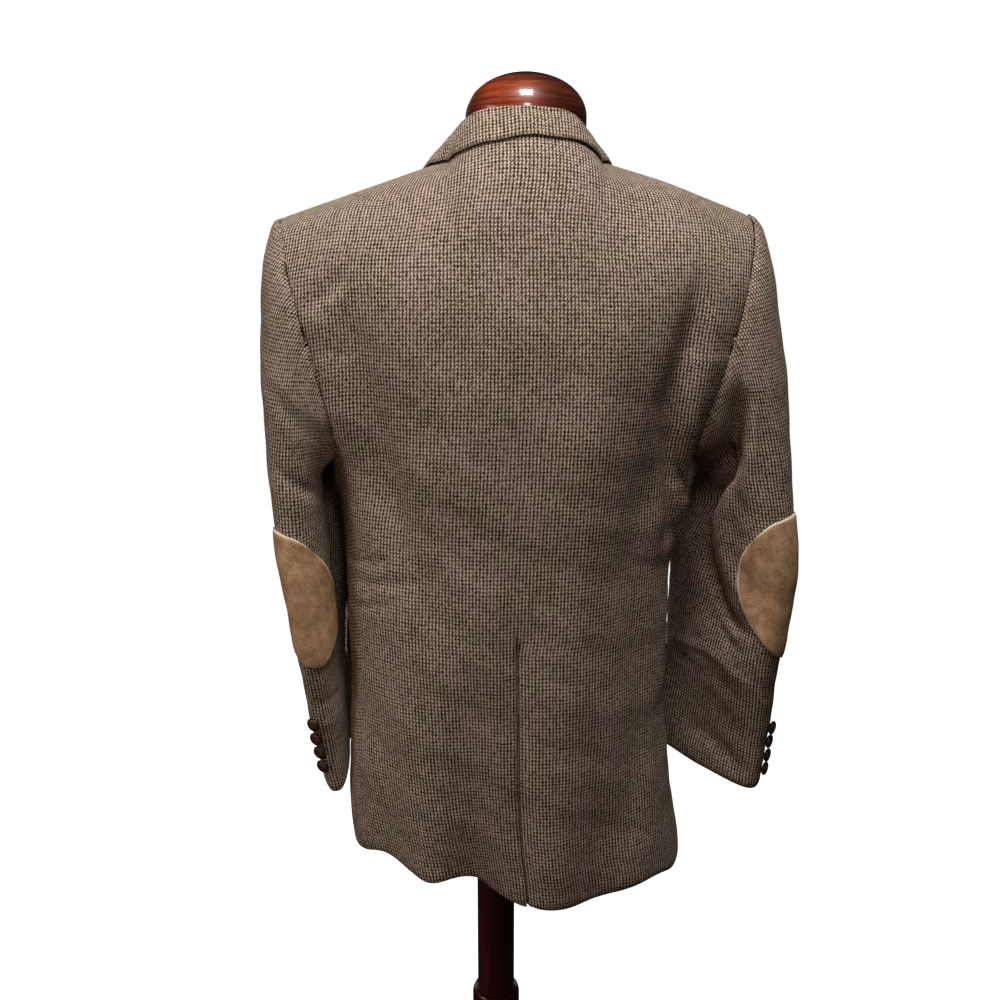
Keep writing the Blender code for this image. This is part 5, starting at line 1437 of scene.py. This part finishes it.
def make_stand(wood):
    """The pole, its clamp ring with a bead below a rounded collar, and a low domed base."""
    low = BASE_HEIGHT + REST_GAP
    length = FORM_BOTTOM - REST_GAP - low
    pole = [(POLE_RADIUS, float(h)) for h in np.linspace(length, 0.0, 60)]
    turned("pole", [(0.0, length), *pole, (0.0, 0.0)], (POLE_X, POLE_Y, low), 64, wood)
    hole = POLE_RADIUS + REST_GAP
    thick = RING_RADIUS - hole
    profile = [(hole, 0.96 * RING_HEIGHT)]
    profile += arc((hole + 0.45 * thick, 0.74 * RING_HEIGHT), (0.55 * thick, 0.26 * RING_HEIGHT),
                   90.0, 0.0, 14)
    profile += [(RING_RADIUS, 0.30 * RING_HEIGHT)]
    profile += arc((RING_RADIUS - 0.0002, 0.19 * RING_HEIGHT), (-0.0030, 0.08 * RING_HEIGHT),
                   60.0, -60.0, 9)
    profile += [(RING_RADIUS - 0.001, 0.0), (hole, 0.0)]
    turned("pole_ring", profile, (POLE_X, POLE_Y, RING_TOP - RING_HEIGHT), 96, wood, closed=True)
    middle, rim = 0.05, BASE_RADIUS - BASE_RIM_FROM
    top = BASE_HEIGHT - 0.0004
    base = [(0.0, BASE_HEIGHT), (0.026, BASE_HEIGHT), (middle, top)]
    base += [(float(r), top - BASE_FALL * ((r - middle) / (rim - middle)) ** 2)
             for r in np.linspace(middle + 0.005, rim, 14)]
    base += arc((BASE_RADIUS - 0.020, BASE_STEP), (0.020, BASE_HEIGHT - 0.008 - BASE_STEP),
                90.0, 0.0, 14)
    base += [(BASE_RADIUS - inward, up) for inward, up in BASE_EDGE] + [(0.0, 0.0)]
    turned("pole_base", base, (0.0, 0.0, 0.0), 160, wood)


# ---------------------------------------------------------------- studio
CAMERA_PLACE, CAMERA_TURN = (0.0816, 1.03, 1.44), (76.1, 0.0, 176.3)
CAMERA_LENS, CAMERA_SENSOR = 36.0, 36.0
FLOOR_SIZE = 12.0
LIGHTS = (                  # name, place, target, size, watts, colour
    ("overhead", (0.0, 0.55, 2.75), (0.0, 0.1, 1.3), (0.38, 0.38), 17.6, "fffcf8"),
    ("camera_lamp", (0.0, 0.8, 1.9), (0.0, 0.1, 1.2), (0.14, 0.14), 1.4, "fff6ee"),
    ("left_window", (1.5, 0.5, 1.6), (0.0, 0.1, 1.2), (0.5, 1.1), 5.6, "fff6ee"),
    ("left_bounce", (0.9, 1.1, 0.6), (0.0, 0.1, 0.95), (0.6, 0.6), 0.8, "ffcfae"),
    ("front_fill", (0.3, -2.2, 1.7), (0.0, 0.0, 1.2), (1.4, 1.4), 16.0, "fff8f0"),
)


def area_light(name, place, target, size, watts, colour):
    lamp = bpy.data.lights.new(name, "AREA")
    lamp.shape = "RECTANGLE"
    lamp.size, lamp.size_y = size
    lamp.energy = watts
    lamp.color = linear(colour)[:3]
    item = placed(name, lamp)
    item.location = place
    item.rotation_euler = (Vector(target) - Vector(place)).to_track_quat("-Z", "Y").to_euler()
    item.visible_camera = False


def make_camera():
    lens = bpy.data.cameras.new("camera")
    lens.lens = CAMERA_LENS
    lens.sensor_width = CAMERA_SENSOR
    lens.clip_start = 0.05
    camera = placed("camera", lens)
    camera.location = CAMERA_PLACE
    camera.rotation_euler = [math.radians(a) for a in CAMERA_TURN]
    bpy.context.scene.camera = camera
    bpy.context.scene.view_settings.view_transform = "Standard"


def make_world():
    """A weak glow from all round lights the room, and the camera sees plain white beyond it."""
    world = bpy.data.worlds.new("studio")
    world.use_nodes = True
    bpy.context.scene.world = world
    tree = world.node_tree
    tree.nodes.clear()
    up = node(tree, "ShaderNodeSeparateXYZ", {
        0: node(tree, "ShaderNodeTexCoord").outputs["Generated"]}).outputs[2]
    soft = node(tree, "ShaderNodeMapRange", {"Value": up, "From Min": -0.3, "From Max": 0.9,
                                             "To Min": 0.01, "To Max": 0.03})
    light = node(tree, "ShaderNodeBackground", {"Color": linear("fff8f0"), "Strength": soft})
    white = node(tree, "ShaderNodeBackground", {"Color": linear("ffffff"), "Strength": 1.0})
    seen = node(tree, "ShaderNodeLightPath").outputs["Is Camera Ray"]
    both = node(tree, "ShaderNodeMixShader", {0: seen, 1: light, 2: white})
    node(tree, "ShaderNodeOutputWorld", {0: both})


def make_floor():
    """A pale painted floor that glows, less near the stand and more away from it: painted shade
    round the stand and painted light beyond.
    """
    mesh = bpy.data.meshes.new("floor")
    half = 0.5 * FLOOR_SIZE
    mesh.from_pydata([(-half, -half, 0.0), (half, -half, 0.0), (half, half, 0.0),
                      (-half, half, 0.0)], [], [(0, 1, 2, 3)])
    pale, tree = new_finish("pale_floor_paint", Roughness=0.8,
                            Emission_Color=linear("ffffff"))
    place = node(tree, "ShaderNodeTexCoord").outputs["Object"]
    dust = node(tree, "ShaderNodeTexNoise", {"Vector": place, "Scale": 3.0})
    far = node(tree, "ShaderNodeVectorMath", {0: place}, operation="LENGTH").outputs["Value"]
    # The floor's own glow, weaker near the stand: painted light that leaves painted shade round the
    # stand.
    glow = node(tree, "ShaderNodeMapRange", {"Value": far, "From Min": 0.2, "From Max": 0.62,
                                             "To Min": 0.80, "To Max": 1.0})
    tone = node(tree, "ShaderNodeValToRGB", {0: dust}, stops=((0.3, "f4f3f0"), (0.7, "faf9f7")))
    feed(tree, Base_Color=tone, Emission_Strength=glow)
    mesh.materials.append(pale)
    floor = placed("floor", mesh)
    floor.visible_diffuse = False
    floor.visible_glossy = False


# ---------------------------------------------------------------- the whole
STITCHES = stitch_tree()
tweed = tweed_finish()
lining = lining_finish()
suede = suede_finish()
leather = leather_finish()
patch_thread = thread_finish("pale_patch_thread", "c6a67c", "e0c096")
hole_thread = thread_finish("brown_buttonhole_twist", "4a3628", "645042")
cap_wood = mahogany_finish("lacquered_mahogany_cap", (0.5, 0.5, 9.0), 42.0, (
    (0.35, "34100a"), (0.62, "8c3014"), (0.90, "b85a30")))
pole_wood = mahogany_finish("lacquered_mahogany_stand", (1.0, 1.0, 0.06), 60.0, (
    (0.35, "2c0803"), (0.65, "4a1207"), (0.95, "6e2312")))
make_backs(tweed, lining)
make_sides(tweed, lining)
make_fronts(tweed, lining)
make_lapels(tweed)
make_collar(tweed)
make_flaps(tweed, lining)
make_sleeves(tweed, lining)
make_patches(suede, patch_thread)
make_buttons(leather, hole_thread)
make_torso(jersey_finish())
make_cap(cap_wood)
make_stand(pole_wood)
make_camera()
make_world()
for light in LIGHTS:
    area_light(*light)
make_floor()
